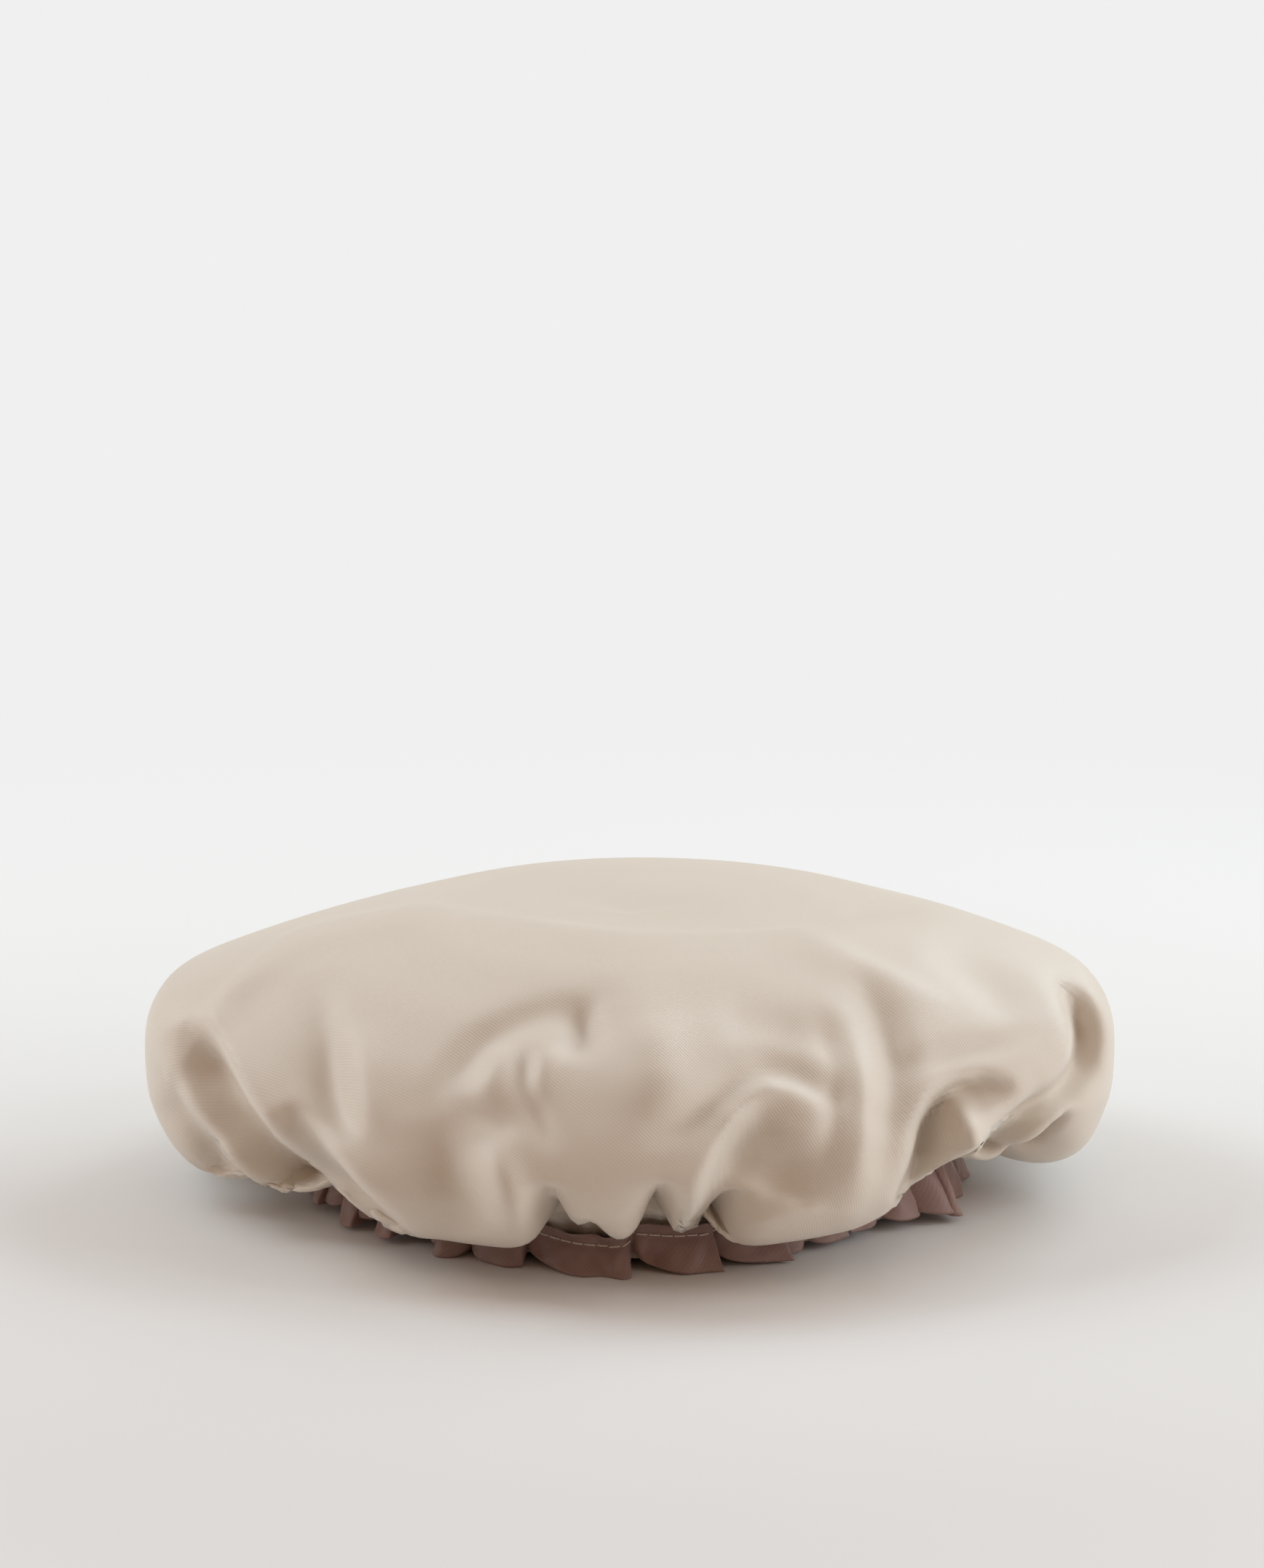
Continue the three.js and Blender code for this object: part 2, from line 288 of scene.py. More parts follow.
@dataclass(frozen=True)
class SatinFinish:
    """A woven satin with a fine diagonal line and a soft sheen.

    Rates count features per metre of the flat cloth.

    Attributes:
        name: The material's name.
        lit: The colour of the cloth's face.
        deep: The colour between the yarns.
        roughness: The middle roughness of the face.
        uneven_roughness: How far the roughness ranges over the cloth.
        sheen: The strength of the soft sheen at grazing angles.
        sheen_roughness: The roughness of that sheen.
        gloss: The specular level.
        line_pitch: The distance between two diagonal lines of the weave.
        line_depth: The depth of those lines.
        line_bump: The share of that depth that shows.
        wander: How far a line strays, in radians of its own wave.
        wander_rate: How often it strays.
        floats: How many floating yarns there are for each line.
        float_slant: How far those yarns lean.
        float_share: Their share of the weave.
        cloud_rate: How often the tone of the cloth changes.
        weave_tone: The share of the tone that the weave gives.
        cloud_tone: The share that the slow changes give.
        least_tone: The share that the whole cloth has.
        crinkle_rate: How often fine creases come.
        crinkle_depth: Their depth.
        crinkle_bump: The share of that depth that shows.
    """

    name: str
    lit: Colour
    deep: Colour
    roughness: float = 0.5
    uneven_roughness: float = 0.08
    sheen: float = 0.2
    sheen_roughness: float = 0.45
    gloss: float = 0.35
    line_pitch: float = 0.85 * MM
    line_depth: float = 0.065 * MM
    line_bump: float = 0.6
    wander: float = 3.0
    wander_rate: float = 90.0
    floats: float = 2.6
    float_slant: float = 0.35
    float_share: float = 0.3
    cloud_rate: float = 14.0
    weave_tone: float = 0.3
    cloud_tone: float = 0.35
    least_tone: float = 0.3
    crinkle_rate: float = 45.0
    crinkle_depth: float = 0.5 * MM
    crinkle_bump: float = 0.25

    def make(self) -> bpy.types.Material:
        """Builds the material.

        Returns:
            The material.
        """
        desk = ShaderDesk(self.name)
        place, across, along = desk.cut_axes()
        wander = desk.noise(place, self.wander_rate, detail=2.0)
        turns = 2 * math.pi / self.line_pitch / math.sqrt(2)
        line = ((across + along) * turns + wander * self.wander).ripple()
        floats = ((across - along * self.float_slant) * (turns * self.floats)).ripple()
        weave = line * (1 - self.float_share) + floats * self.float_share
        cloud = desk.noise(place, self.cloud_rate, detail=3.0)
        tone = weave * self.weave_tone + cloud * self.cloud_tone + self.least_tone
        crinkle = desk.noise(place, self.crinkle_rate, detail=4.0)
        woven = desk.bump(weave, self.line_depth, self.line_bump)
        return desk.principled(
            {
                "Base Color": desk.mix(tone, self.deep, self.lit),
                "Roughness": cloud * self.uneven_roughness + (self.roughness - self.uneven_roughness / 2),
                "Sheen Weight": self.sheen,
                "Sheen Roughness": self.sheen_roughness,
                "Specular IOR Level": self.gloss,
                "Normal": desk.bump(crinkle, self.crinkle_depth, self.crinkle_bump, woven),
            }
        )


@dataclass(frozen=True)
class FilmFinish:
    """A frosted waterproof film with fine crinkles.

    Attributes:
        name: The material's name.
        clear: The colour where the film is thin.
        milky: The colour where it is thick.
        roughness: The middle roughness of its face.
        frost_roughness: How far the roughness ranges over the frost.
        frost_rate: Grains of the frost per metre.
        crinkle_rate: Crinkles per metre.
        crinkle_depth: The depth of the crinkles.
        crinkle_bump: The share of that depth that shows.
    """

    name: str
    clear: Colour
    milky: Colour
    roughness: float = 0.32
    frost_roughness: float = 0.16
    frost_rate: float = 900.0
    crinkle_rate: float = 55.0
    crinkle_depth: float = 0.9 * MM
    crinkle_bump: float = 0.7

    def make(self) -> bpy.types.Material:
        """Builds the material.

        Returns:
            The material.
        """
        desk = ShaderDesk(self.name)
        place, _, _ = desk.cut_axes()
        crinkle = desk.noise(place, self.crinkle_rate, detail=6.0)
        frost = desk.noise(place, self.frost_rate, detail=2.0)
        return desk.principled(
            {
                "Base Color": desk.mix(crinkle, self.clear, self.milky),
                "Roughness": frost * self.frost_roughness + (self.roughness - self.frost_roughness / 2),
                "Normal": desk.bump(crinkle, self.crinkle_depth, self.crinkle_bump),
            }
        )


@dataclass(frozen=True)
class KnitFinish:
    """A knitted elastic with lengthwise ribs and rows of stitches.

    Attributes:
        name: The material's name.
        lit: The colour of the ribs.
        deep: The colour between them.
        row_pitch: The distance between two rows of knitting.
        row_depth: The depth of the rows.
        row_bump: The share of that depth that shows.
        fuzz_rate: Loose fibres per metre.
        fuzz_share: Their share of the tone.
        roughness: The least roughness.
        fuzz_roughness: How much rougher the fibres are.
        sheen: The strength of the soft sheen.
    """

    name: str
    lit: Colour
    deep: Colour
    row_pitch: float = 0.9 * MM
    row_depth: float = 0.1 * MM
    row_bump: float = 0.6
    fuzz_rate: float = 1500.0
    fuzz_share: float = 0.3
    roughness: float = 0.75
    fuzz_roughness: float = 0.1
    sheen: float = 0.2

    def make(self) -> bpy.types.Material:
        """Builds the material.

        Returns:
            The material.
        """
        desk = ShaderDesk(self.name)
        place, across, along = desk.cut_axes()
        turns = 2 * math.pi / self.row_pitch
        rows = (along * turns + (across * turns).sine()).ripple()
        fuzz = desk.noise(place, self.fuzz_rate, detail=2.0)
        tone = rows * (1 - self.fuzz_share) + fuzz * self.fuzz_share
        return desk.principled(
            {
                "Base Color": desk.mix(tone, self.deep, self.lit),
                "Roughness": fuzz * self.fuzz_roughness + self.roughness,
                "Sheen Weight": self.sheen,
                "Normal": desk.bump(rows, self.row_depth, self.row_bump),
            }
        )


@dataclass(frozen=True)
class ThreadFinish:
    """A twisted sewing thread.

    Attributes:
        name: The material's name.
        lit: The colour of the strands.
        deep: The colour between them.
        twist_rate: How close together the turns of the twist are.
        twist_wander: How far they stray.
        twist_depth: Their depth.
        twist_bump: The share of that depth that shows.
        roughness: The least roughness.
        twist_roughness: How much rougher the strands are.
        sheen: The strength of the soft sheen.
    """

    name: str
    lit: Colour
    deep: Colour
    twist_rate: float = 700.0
    twist_wander: float = 1.0
    twist_depth: float = 0.08 * MM
    twist_bump: float = 0.5
    roughness: float = 0.5
    twist_roughness: float = 0.1
    sheen: float = 0.2

    def make(self) -> bpy.types.Material:
        """Builds the material.

        Returns:
            The material.
        """
        desk = ShaderDesk(self.name)
        place = desk.node("ShaderNodeTexCoord", {}, {}, "Object")
        twist = desk.node(
            "ShaderNodeTexWave",
            {"wave_type": "BANDS", "bands_direction": "DIAGONAL"},
            {"Vector": place, "Scale": self.twist_rate, "Distortion": self.twist_wander},
            1,
        )
        return desk.principled(
            {
                "Base Color": desk.mix(twist, self.deep, self.lit),
                "Roughness": twist * self.twist_roughness + self.roughness,
                "Sheen Weight": self.sheen,
                "Normal": desk.bump(twist, self.twist_depth, self.twist_bump),
            }
        )


SATIN = SatinFinish("cream_satin_face", lit=(0.75, 0.69, 0.61), deep=(0.67, 0.59, 0.5))
TRIM = SatinFinish(
    "mauve_satin_face",
    lit=(0.33, 0.215, 0.19),
    deep=(0.23, 0.145, 0.127),
    sheen=0.25,
    crinkle_depth=1.5 * MM,
)
FILM = FilmFinish("frosted_film_face", clear=(0.66, 0.585, 0.5), milky=(0.76, 0.7, 0.62))
KNIT = KnitFinish("knit_elastic_face", lit=(0.86, 0.84, 0.8), deep=(0.6, 0.57, 0.53))
THREAD = ThreadFinish("pale_thread_face", lit=(0.78, 0.71, 0.65), deep=(0.55, 0.46, 0.4))


# Mesh helpers


def smoothstep(value: np.ndarray, low: float, high: float) -> np.ndarray:
    """A soft step from 0 at the low value to 1 at the high one."""
    share = np.clip((value - low) / (high - low), 0.0, 1.0)
    return share * share * (3 - 2 * share)


def polar(radius: np.ndarray, height: np.ndarray, azimuth: np.ndarray) -> np.ndarray:
    """Rows of x, y and z at distances from the axis, heights and azimuths in radians."""
    level = np.broadcast_to(height, np.shape(azimuth))
    return np.stack([radius * np.sin(azimuth), -radius * np.cos(azimuth), level], axis=-1)


def unit_rows(rows: np.ndarray) -> np.ndarray:
    """The rows, each divided by its length."""
    return rows / np.maximum(np.linalg.norm(rows, axis=1, keepdims=True), TINY)


def mesh_object(
    name: str, points: np.ndarray, faces: list[tuple[int, ...]], corner_places: Optional[np.ndarray] = None
) -> bpy.types.Object:
    """Makes a smooth-shaded mesh object at the origin.

    Args:
        name: The object's name.
        points: One row for each vertex.
        faces: Vertex numbers of each face.
        corner_places: Place on the flat cut of every face corner, in the faces' order.

    Returns:
        The object, linked to the scene.
    """
    mesh = bpy.data.meshes.new(name)
    mesh.from_pydata(points.tolist(), [], faces)
    mesh.shade_smooth()
    if corner_places is not None:
        layer = mesh.uv_layers.new(name=CUT_UV)
        layer.uv.foreach_set("vector", corner_places.astype(np.float32).ravel())
    made = bpy.data.objects.new(name, mesh)
    bpy.context.scene.collection.objects.link(made)
    return made


def coordinates(mesh: bpy.types.Mesh) -> np.ndarray:
    """The vertices of a mesh.

    Args:
        mesh: The mesh.

    Returns:
        One row for each vertex.
    """
    flat = np.zeros(len(mesh.vertices) * 3, np.float32)
    mesh.vertices.foreach_get("co", flat)
    return flat.reshape(-1, 3).astype(float)


def vertex_normals(points: np.ndarray, faces: np.ndarray) -> np.ndarray:
    """Area-weighted normals of the vertices of a quad mesh.

    Args:
        points: One row for each vertex.
        faces: Four vertex numbers for each face.

    Returns:
        One unit row for each vertex.
    """
    corners = points[faces]
    face_normals = np.cross(corners[:, 2] - corners[:, 0], corners[:, 3] - corners[:, 1])
    sums = np.zeros_like(points)
    for corner in range(4):
        np.add.at(sums, faces[:, corner], face_normals)
    return unit_rows(sums)


def relaxed(values: np.ndarray, faces: np.ndarray, rounds: int) -> np.ndarray:
    """Evens values out over a quad mesh.

    Args:
        values: One row for each vertex.
        faces: Four vertex numbers for each face.
        rounds: How often each vertex takes the mean of itself and its neighbours.

    Returns:
        The evened values.
    """
    starts = faces.ravel()
    ends = np.roll(faces, -1, axis=1).ravel()
    count = np.bincount(np.r_[starts, ends], minlength=len(values))[:, None]
    evened = values
    for _ in range(rounds):
        sums = np.zeros_like(evened)
        np.add.at(sums, starts, evened[ends])
        np.add.at(sums, ends, evened[starts])
        evened = 0.5 * evened + 0.5 * sums / count
    return evened


def greatest_near(values: np.ndarray, faces: np.ndarray) -> np.ndarray:
    """The greatest value among each vertex and those that share a face with it.

    Args:
        values: One value for each vertex.
        faces: Four vertex numbers for each face.

    Returns:
        One value for each vertex.
    """
    greatest = values.copy()
    by_face = values[faces].max(axis=1)
    for corner in range(4):
        np.maximum.at(greatest, faces[:, corner], by_face)
    return greatest


def thicken(made: bpy.types.Object, name: str, thickness: float, offset: float) -> None:
    """Gives a sheet its thickness.

    Args:
        made: The sheet.
        name: The modifier's name.
        thickness: The thickness.
        offset: -1 where it lies inside the mesh, 0 where the mesh is its middle.
    """
    wall = made.modifiers.new(name, "SOLIDIFY")
    wall.thickness = thickness
    wall.offset = offset


def attach(made: bpy.types.Object, piece: Piece, finish: bpy.types.Material) -> None:
    """Dresses a piece, puts it on the cap's body and lets it stand for its node.

    Args:
        made: The piece.
        piece: The node that it stands for.
        finish: Its material.
    """
    if not made.data.materials:
        made.data.materials.append(finish)
    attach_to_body(made, BODY)
    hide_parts(piece.value)


# Form of the cap


def bearing(azimuth: float, elevation: float) -> np.ndarray:
    """The direction from the foot of the cap to something that stands round it.

    Args:
        azimuth: Degrees from the front towards +X.
        elevation: Degrees over the floor.

    Returns:
        A unit row.
    """
    turn = math.radians(azimuth)
    rise = math.radians(elevation)
    return np.array([math.sin(turn) * math.cos(rise), -math.cos(turn) * math.cos(rise), math.sin(rise)])


@dataclass(frozen=True)
class Sightline:
    """A line of sight along which folds are drawn, which is the photograph's unless it is turned.

    Attributes:
        elevation: The angle at which it looks down on the foot of the cap, in degrees.
        distance: Eye to the foot of the cap.
        turn: How far the eye has gone round the cap to the right, in degrees.
    """

    elevation: float = 16.8
    distance: float = 1.5
    turn: float = 0.0

    def eye(self) -> np.ndarray:
        """Where the eye is."""
        return self.distance * bearing(self.turn, self.elevation)

    def axes(self) -> np.ndarray:
        """The directions to the right and upwards as seen by the eye, as two rows."""
        turn = math.radians(self.turn)
        across = np.array([math.cos(turn), math.sin(turn), 0.0])
        return np.stack([across, np.cross(across, -self.eye() / self.distance)])

    def place(self, points: np.ndarray) -> np.ndarray:
        """Where points are seen, as lengths in the plane through the foot of the cap that faces the eye.

        Args:
            points: One row for each point.

        Returns:
            One row for each point: how far right of the foot and how far above it.
        """
        eye = self.eye()
        ray = points - eye
        depth = ray @ (-eye / self.distance)
        return ray @ self.axes().T * (self.distance / depth)[:, None]


@dataclass(frozen=True)
class Fold:
    """A deep fold that the elastic draws into the cloth.

    Attributes:
        azimuth: Where it meets the casing, in degrees.
        lean: How far it has turned by the time it reaches the shoulder, in degrees.
        start: The height in millimetres at which it leaves the round of the puffs.
        depth: How far it is drawn in, as a share of the way to a straight line down to the casing.
        width: Its half width in millimetres.
    """

    azimuth: float
    lean: float
    start: float
    depth: float
    width: float = 6.5


FOLDS = (
    Fold(-84, 0, 26, 0.6, 5),
    Fold(-62, 0, 28, 0.9, 5),
    Fold(-45, -5, 36, 1.0, 8),
    Fold(-10, 0, 33, 1.1, 3.5),
    Fold(-5, 0, 24, 0.8, 4),
    Fold(3, 1, 34, 1.15, 3.5),
    Fold(8.5, 5, 31, 1.0, 3.5),
    Fold(45, 0, 25, 0.6, 15),
    Fold(57, -4, 38, 1.1, 12),
    Fold(71, -6, 34, 0.9, 4.5),
    Fold(92, -5, 30, 0.5),
    Fold(112, -3, 46, 0.6),
    Fold(136, 2, 54, 0.6),
    Fold(158, -2, 40, 0.7),
    Fold(181, 3, 52, 0.6),
    Fold(204, 0, 42, 0.7),
    Fold(228, -3, 56, 0.55),
    Fold(252, 3, 44, 0.6),
)


@dataclass(frozen=True)
class Crease:
    """A ridge or hollow of the cloth as it is seen along one line of sight, in millimetres.

    Attributes:
        path: Points on it: how far right of the foot of the cap it is seen, how far above it, and how far
            it comes towards the eye, which is below 0 in a hollow.
        left: Half width on its left side, walking along the path.
        right: Half width on its right side.
        lap: How far the cloth on its steeper side hangs over it.
    """

    path: tuple[tuple[float, float, float], ...]
    left: float
    right: float
    lap: float = 0.0


CREASES = (
    # The ridge that runs from the left pocket up over the shoulder
    Crease(
        ((-123, 40, 1), (-117, 48, 2.5), (-109, 56, 3), (-96, 66, 3), (-86, 69, 2.5), (-71, 72, 2),
         (-55, 75, 1)),
        2, 5,
    ),
    # The edge of the flat top
    Crease(
        ((-58, 75, 0.3), (-34, 72, 0.6), (-18, 69, 0.8), (1, 67, 0.8), (28, 67, 0.8), (45, 68, 0.8),
         (59, 69, 0.6), (84, 71, 0)),
        2, 9,
    ),
    # The dished top behind that edge
    Crease(
        ((-66, 79, 0), (-42, 76, -1.2), (-20, 73, -2), (4, 71, -3), (30, 71, -3), (56, 72, -2.4),
         (88, 76, 0)),
        8, 2.2,
    ),
    # The right shoulder
    Crease(((46, 68, 0.5), (55, 64, 1.2), (65, 59, 1.5), (74, 55, 1.5), (84, 50, 1), (92, 45, 0)), 3, 6),
    # The dip behind it
    Crease(((84, 66, 0), (95, 59, -2), (105, 51, -2.2), (112, 43, 0)), 7, 6),
    # The soft upright step below it
    Crease(((63, 57, 0), (67, 53, -1.5), (73, 43, -3.5), (76, 33, -4.5), (76, 23, -3.5), (75, 8, 0)), 4, 9),
    # The left pocket: a panel that lies farther back than the sharp edge of the next puff
    Crease(
        ((-125, 44, 0), (-122, 38, -6), (-117, 30, -15), (-109, 16, -16), (-101, 7, -14), (-94, 1, -11),
         (-87, -5, -5)),
        2.5, 11, lap=3,
    ),
    Crease(((-117, 40, 2), (-112, 31, 3), (-104, 18, 3), (-96, 9, 3), (-89, 3, 2.5)), 5, 2.5),
    # The roll behind the panel's own edge
    Crease(
        ((-131, 24, -3), (-128, 17, -8), (-123, 11, -10), (-119, 7, -10), (-117, 2, -10), (-114, -2, -8)),
        2.5, 9, lap=2,
    ),
    # The second edge, with a smaller hollow beside it
    Crease(
        ((-98, 18, 0), (-92, 10, -7), (-87, 4, -15), (-80, -4, -17), (-71, -12, -14), (-66, -17, -10)),
        2.5, 9, lap=2.5,
    ),
    Crease(((-94, 21, 1), (-86, 11, 3), (-79, 2, 3), (-72, -6, 2.5), (-64, -15, 1)), 5, 2.5),
    # The soft upright hollow between the left and the front
    Crease(
        ((-90, 57, 0), (-88, 45, -2.5), (-86, 35, -4.5), (-85, 25, -5), (-83, 15, -4), (-80, 6, -1)),
        5, 9,
    ),
    Crease(((-77, 42, 0), (-76, 30, 1.5), (-75, 19, 1.5), (-72, 8, 0)), 7, 5),
    # The broad hollow of the front puff and the bright ridge beside it
    Crease(((-55, 16, -1), (-53, 6, -4), (-50, -4, -5), (-47, -13, -4), (-44, -19, -1)), 9, 9),
    Crease(((-40, 9, 0), (-37, 0, 3.5), (-34, -7, 4), (-31, -12, 3.5), (-27, -15, 2)), 5, 7),
    # The long crescent left of the middle, deepest at its right end
    Crease(
        ((-7, 46, 0), (-14, 46, -2), (-21, 46, -2.5), (-32, 43, -3), (-42, 38, -3), (-50, 29, -2.5),
         (-54, 21, 0)),
        6, 4,
    ),
    Crease(((-9, 47, -1), (-12, 42, -4.5), (-14, 37, -4), (-15, 31, 0)), 6, 6),
    # Two lobes inside the crescent, with a winding valley between them
    Crease(((-35, 37, 0), (-37, 31, 1.8), (-40, 24, 1.5), (-42, 18, 0)), 4, 4),
    Crease(((-29, 36, 0), (-30, 30, -1.8), (-29, 22, -2), (-25, 13, -2), (-21, 5, 0)), 3.5, 3.5),
    Crease(((-22, 37, 0), (-24, 31, 2), (-27, 24, 1.5), (-26, 18, 0)), 4, 4),
    # The valley under the left lobe
    Crease(((-51, 20, 0), (-44, 17, -1.5), (-36, 14, -2), (-29, 11, 0)), 4, 4),
    # The broad swell right of the middle
    Crease(((4, 44, 1), (6, 35, 3.5), (7, 25, 3.5), (5, 14, 1)), 11, 11),
    # The arch: the hollow over it, the dark fold along it and the bright roll inside it
    Crease(((34, 42, -1.5), (44, 40, -2.5), (54, 38, -2), (60, 32, 0)), 7, 7),
    Crease(
        ((2, 8, -0.5), (12, 12, -2), (20, 17, -3), (30, 26, -3.5), (39, 30, -4), (48, 28, -4),
         (57, 22, -2)),
        5, 4,
    ),
    Crease(((30, 17, 1), (36, 23, 1.5), (44, 24, 1.5), (53, 21, 1)), 6, 6),
    # The pocket under the arch
    Crease(((43, 12, -2), (42, 4, -7), (41, -3, -8), (38, -9, -5), (40, -15, -1)), 12, 12),
    # The sharp crease along the pocket and the ridge on its left
    Crease(
        ((39, 20, -1.5), (33, 12, -5), (29, 5, -8), (25, -3, -9), (22, -10, -11), (18, -15, -11)),
        8, 2, lap=1.5,
    ),
    Crease(((27, 15, 1), (22, 5, 2), (17, -5, 2.5), (14, -11, 2)), 5, 5),
    # The upright ridge right of the pocket and the shallow hollow after it
    Crease(((53, 48, 0), (58, 38, -1.5), (60, 28, -2), (59, 12, -2), (54, 0, -0.5)), 4, 4),
    Crease(((63, 42, 0), (66, 28, 1.5), (67, 12, 2.2), (66, 0, 2), (63, -11, 1)), 5, 5),
    Crease(((72, 14, -2), (73, 2, -2.5), (71, -7, -1)), 6, 6),
    # The level fold over the right pocket
    Crease(((80, 30, -1), (90, 33, -2), (102, 36, -2), (114, 40, -0.5)), 3, 3),
    # The right pocket under its arched edge, the small puff in it and that puff's own edge
    Crease(
        ((101, 24, -6), (93, 22, -11), (88, 18, -14), (85, 12, -17), (84, 6, -18), (82, -1, -18),
         (80, -6, -16)),
        7, 3, lap=3,
    ),
    Crease(((92, 18, 3), (94, 12, 5), (96, 7, 4), (97, 3, 0)), 4, 4),
    Crease(((84, -10, -3), (92, -6, -8), (99, -2, -8), (106, 1, -3)), 6, 6),
    Crease(((117, 25, -2), (113, 17, -7), (104, 8, -9), (98, 3, -9)), 6, 2.5, lap=2),
    # The long dark slot inside the right rim and the fold line of the roll below it
    Crease(
        ((122, 59, -5), (126, 50, -12), (129, 39, -17), (128, 30, -18), (122, 22, -16), (113, 17, -12),
         (106, 13, -5)),
        6.5, 2.5, lap=3,
    ),
    Crease(((98, 2, -1.5), (111, 4, -2), (123, 8, -2), (136, 17, -1)), 2.5, 4),
)

RIGHT_BACK_CREASES = (
    # The gathers run on upwards and fade into the crown
    Crease(((25, 26, -2), (20, 38, -4), (12, 50, -3), (2, 60, 0)), 8, 5),
    Crease(((-31, 20, -2), (-36, 32, -3.5), (-45, 44, -2.5), (-56, 54, 0)), 5, 8),
    Crease(((73, 18, -1), (64, 32, -3), (52, 44, -2.5), (38, 53, 0)), 7, 4),
    # Slack cloth between them
    Crease(((-14, 44, 0), (-8, 33, -2.5), (0, 27, -2.5), (8, 24, 0)), 4, 6),
    Crease(((-12, 12, 0), (-14, 24, 2), (-22, 36, 2), (-32, 47, 0)), 5, 5),
    Crease(((48, 8, 0), (45, 20, 2), (38, 31, 2), (28, 42, 0)), 5, 5),
)
LEFT_BACK_CREASES = (
    # The gathers of the other side of the back
    Crease(((-8, 28, -2), (-3, 40, -4), (6, 51, -3), (18, 60, 0)), 5, 8),
    Crease(((44, 20, -2), (38, 33, -3.5), (36, 46, -2), (40, 56, 0)), 7, 5),
    Crease(((-60, 18, -1), (-50, 32, -3), (-42, 43, -2.5), (-36, 54, 0)), 4, 8),
    # Slack cloth between them
    Crease(((-34, 36, 0), (-27, 27, -2.5), (-19, 23, -2.5), (-12, 24, 0)), 6, 4),
    Crease(((16, 10, 0), (18, 22, 2), (22, 35, 2), (20, 46, 0)), 5, 5),
    Crease(((64, 14, 0), (60, 27, 2), (66, 38, 1.5), (74, 46, 0)), 5, 5),
)
BACK_CREASES = (
    (Sightline(turn=125), RIGHT_BACK_CREASES),
    (Sightline(turn=-130), LEFT_BACK_CREASES),
)


@dataclass(frozen=True)
class UnevenWave:
    """A wave round the gathered edge whose crests are unevenly spaced.

    Attributes:
        crests: How many crests there are.
        wander: How far they stray, in radians of the wave.
        sway: How often they stray to and fro.
        slant: How far the wave runs on from the top of a strip to its bottom, in radians.
    """

    crests: int
    wander: float
    sway: int
    slant: float = 0.0

    def at(self, azimuth: np.ndarray, share: float = 0.0) -> np.ndarray:
        """The wave from -1 to 1 at azimuths in radians, a share of the way down the strip."""
        return np.sin(self.crests * azimuth + self.wander * np.sin(self.sway * azimuth) + self.slant * share)


GATHERS = UnevenWave(61, 3, 7)
FULLNESS = UnevenWave(53, 2, 11)
RUFFLES = (
    (0.8 * MM, UnevenWave(43, 3, 5, 1.5)),
    (0.6 * MM, UnevenWave(79, 4, 7, -3)),
    (0.35 * MM, UnevenWave(131, 5, 9, 7)),
)


@dataclass(frozen=True)
class SeamPath:
    """The wavy ring that every sewn piece of the edge follows.

    Attributes:
        radius: Its middle radius, which is the elastic's.
        sway: How far it strays from a circle.
        waves: Share of the sway, number round the ring and phase of each of its waves.
    """

    radius: float
    sway: float = 0.9 * MM
    waves: tuple[tuple[float, int, float], ...] = ((0.5, 11, 0.7), (0.3, 17, 2.1), (0.4, 5, 1.3))

    def at(self, azimuth: np.ndarray) -> np.ndarray:
        """The seam's radius at azimuths in radians."""
        stray = sum(share * np.sin(count * azimuth + phase) for share, count, phase in self.waves)
        return self.radius + self.sway * stray


@dataclass(frozen=True)
class Outline:
    """How the cloth runs from the middle of the crown to the seam at one side of the cap.

    Attributes:
        crown: Radius and height of points from the plateau's edge to the belly, in millimetres.
        under: Points from the belly to the neck over the casing.
    """

    crown: tuple[tuple[float, float], ...]
    under: tuple[tuple[float, float], ...]


FRONT = Outline(
    ((28, 78), (58, 73.5), (86, 65), (106, 54.5), (118, 43.5), (123.5, 35)),
    ((125, 27), (122, 18.5), (116, 11.5), (107, 9), (98, 12), (92, 17.5)),
)
FLANK = Outline(
    ((30, 78), (60, 76), (88, 71), (112, 64.5), (131, 58), (137, 48.5)),
    ((137, 35), (136, 22.5), (131, 13), (120, 8), (107, 10), (94, 17)),
)
BACK = Outline(
    ((28, 77.5), (58, 76.5), (84, 72.5), (101, 66), (113, 56.5), (121, 46)),
    ((125.5, 35), (123, 24), (117, 16), (108, 12.5), (99, 14), (92.5, 17.5)),
)
DRAWN_RADIUS = 137.5 * MM
DRAWN_HEIGHT = 78 * MM


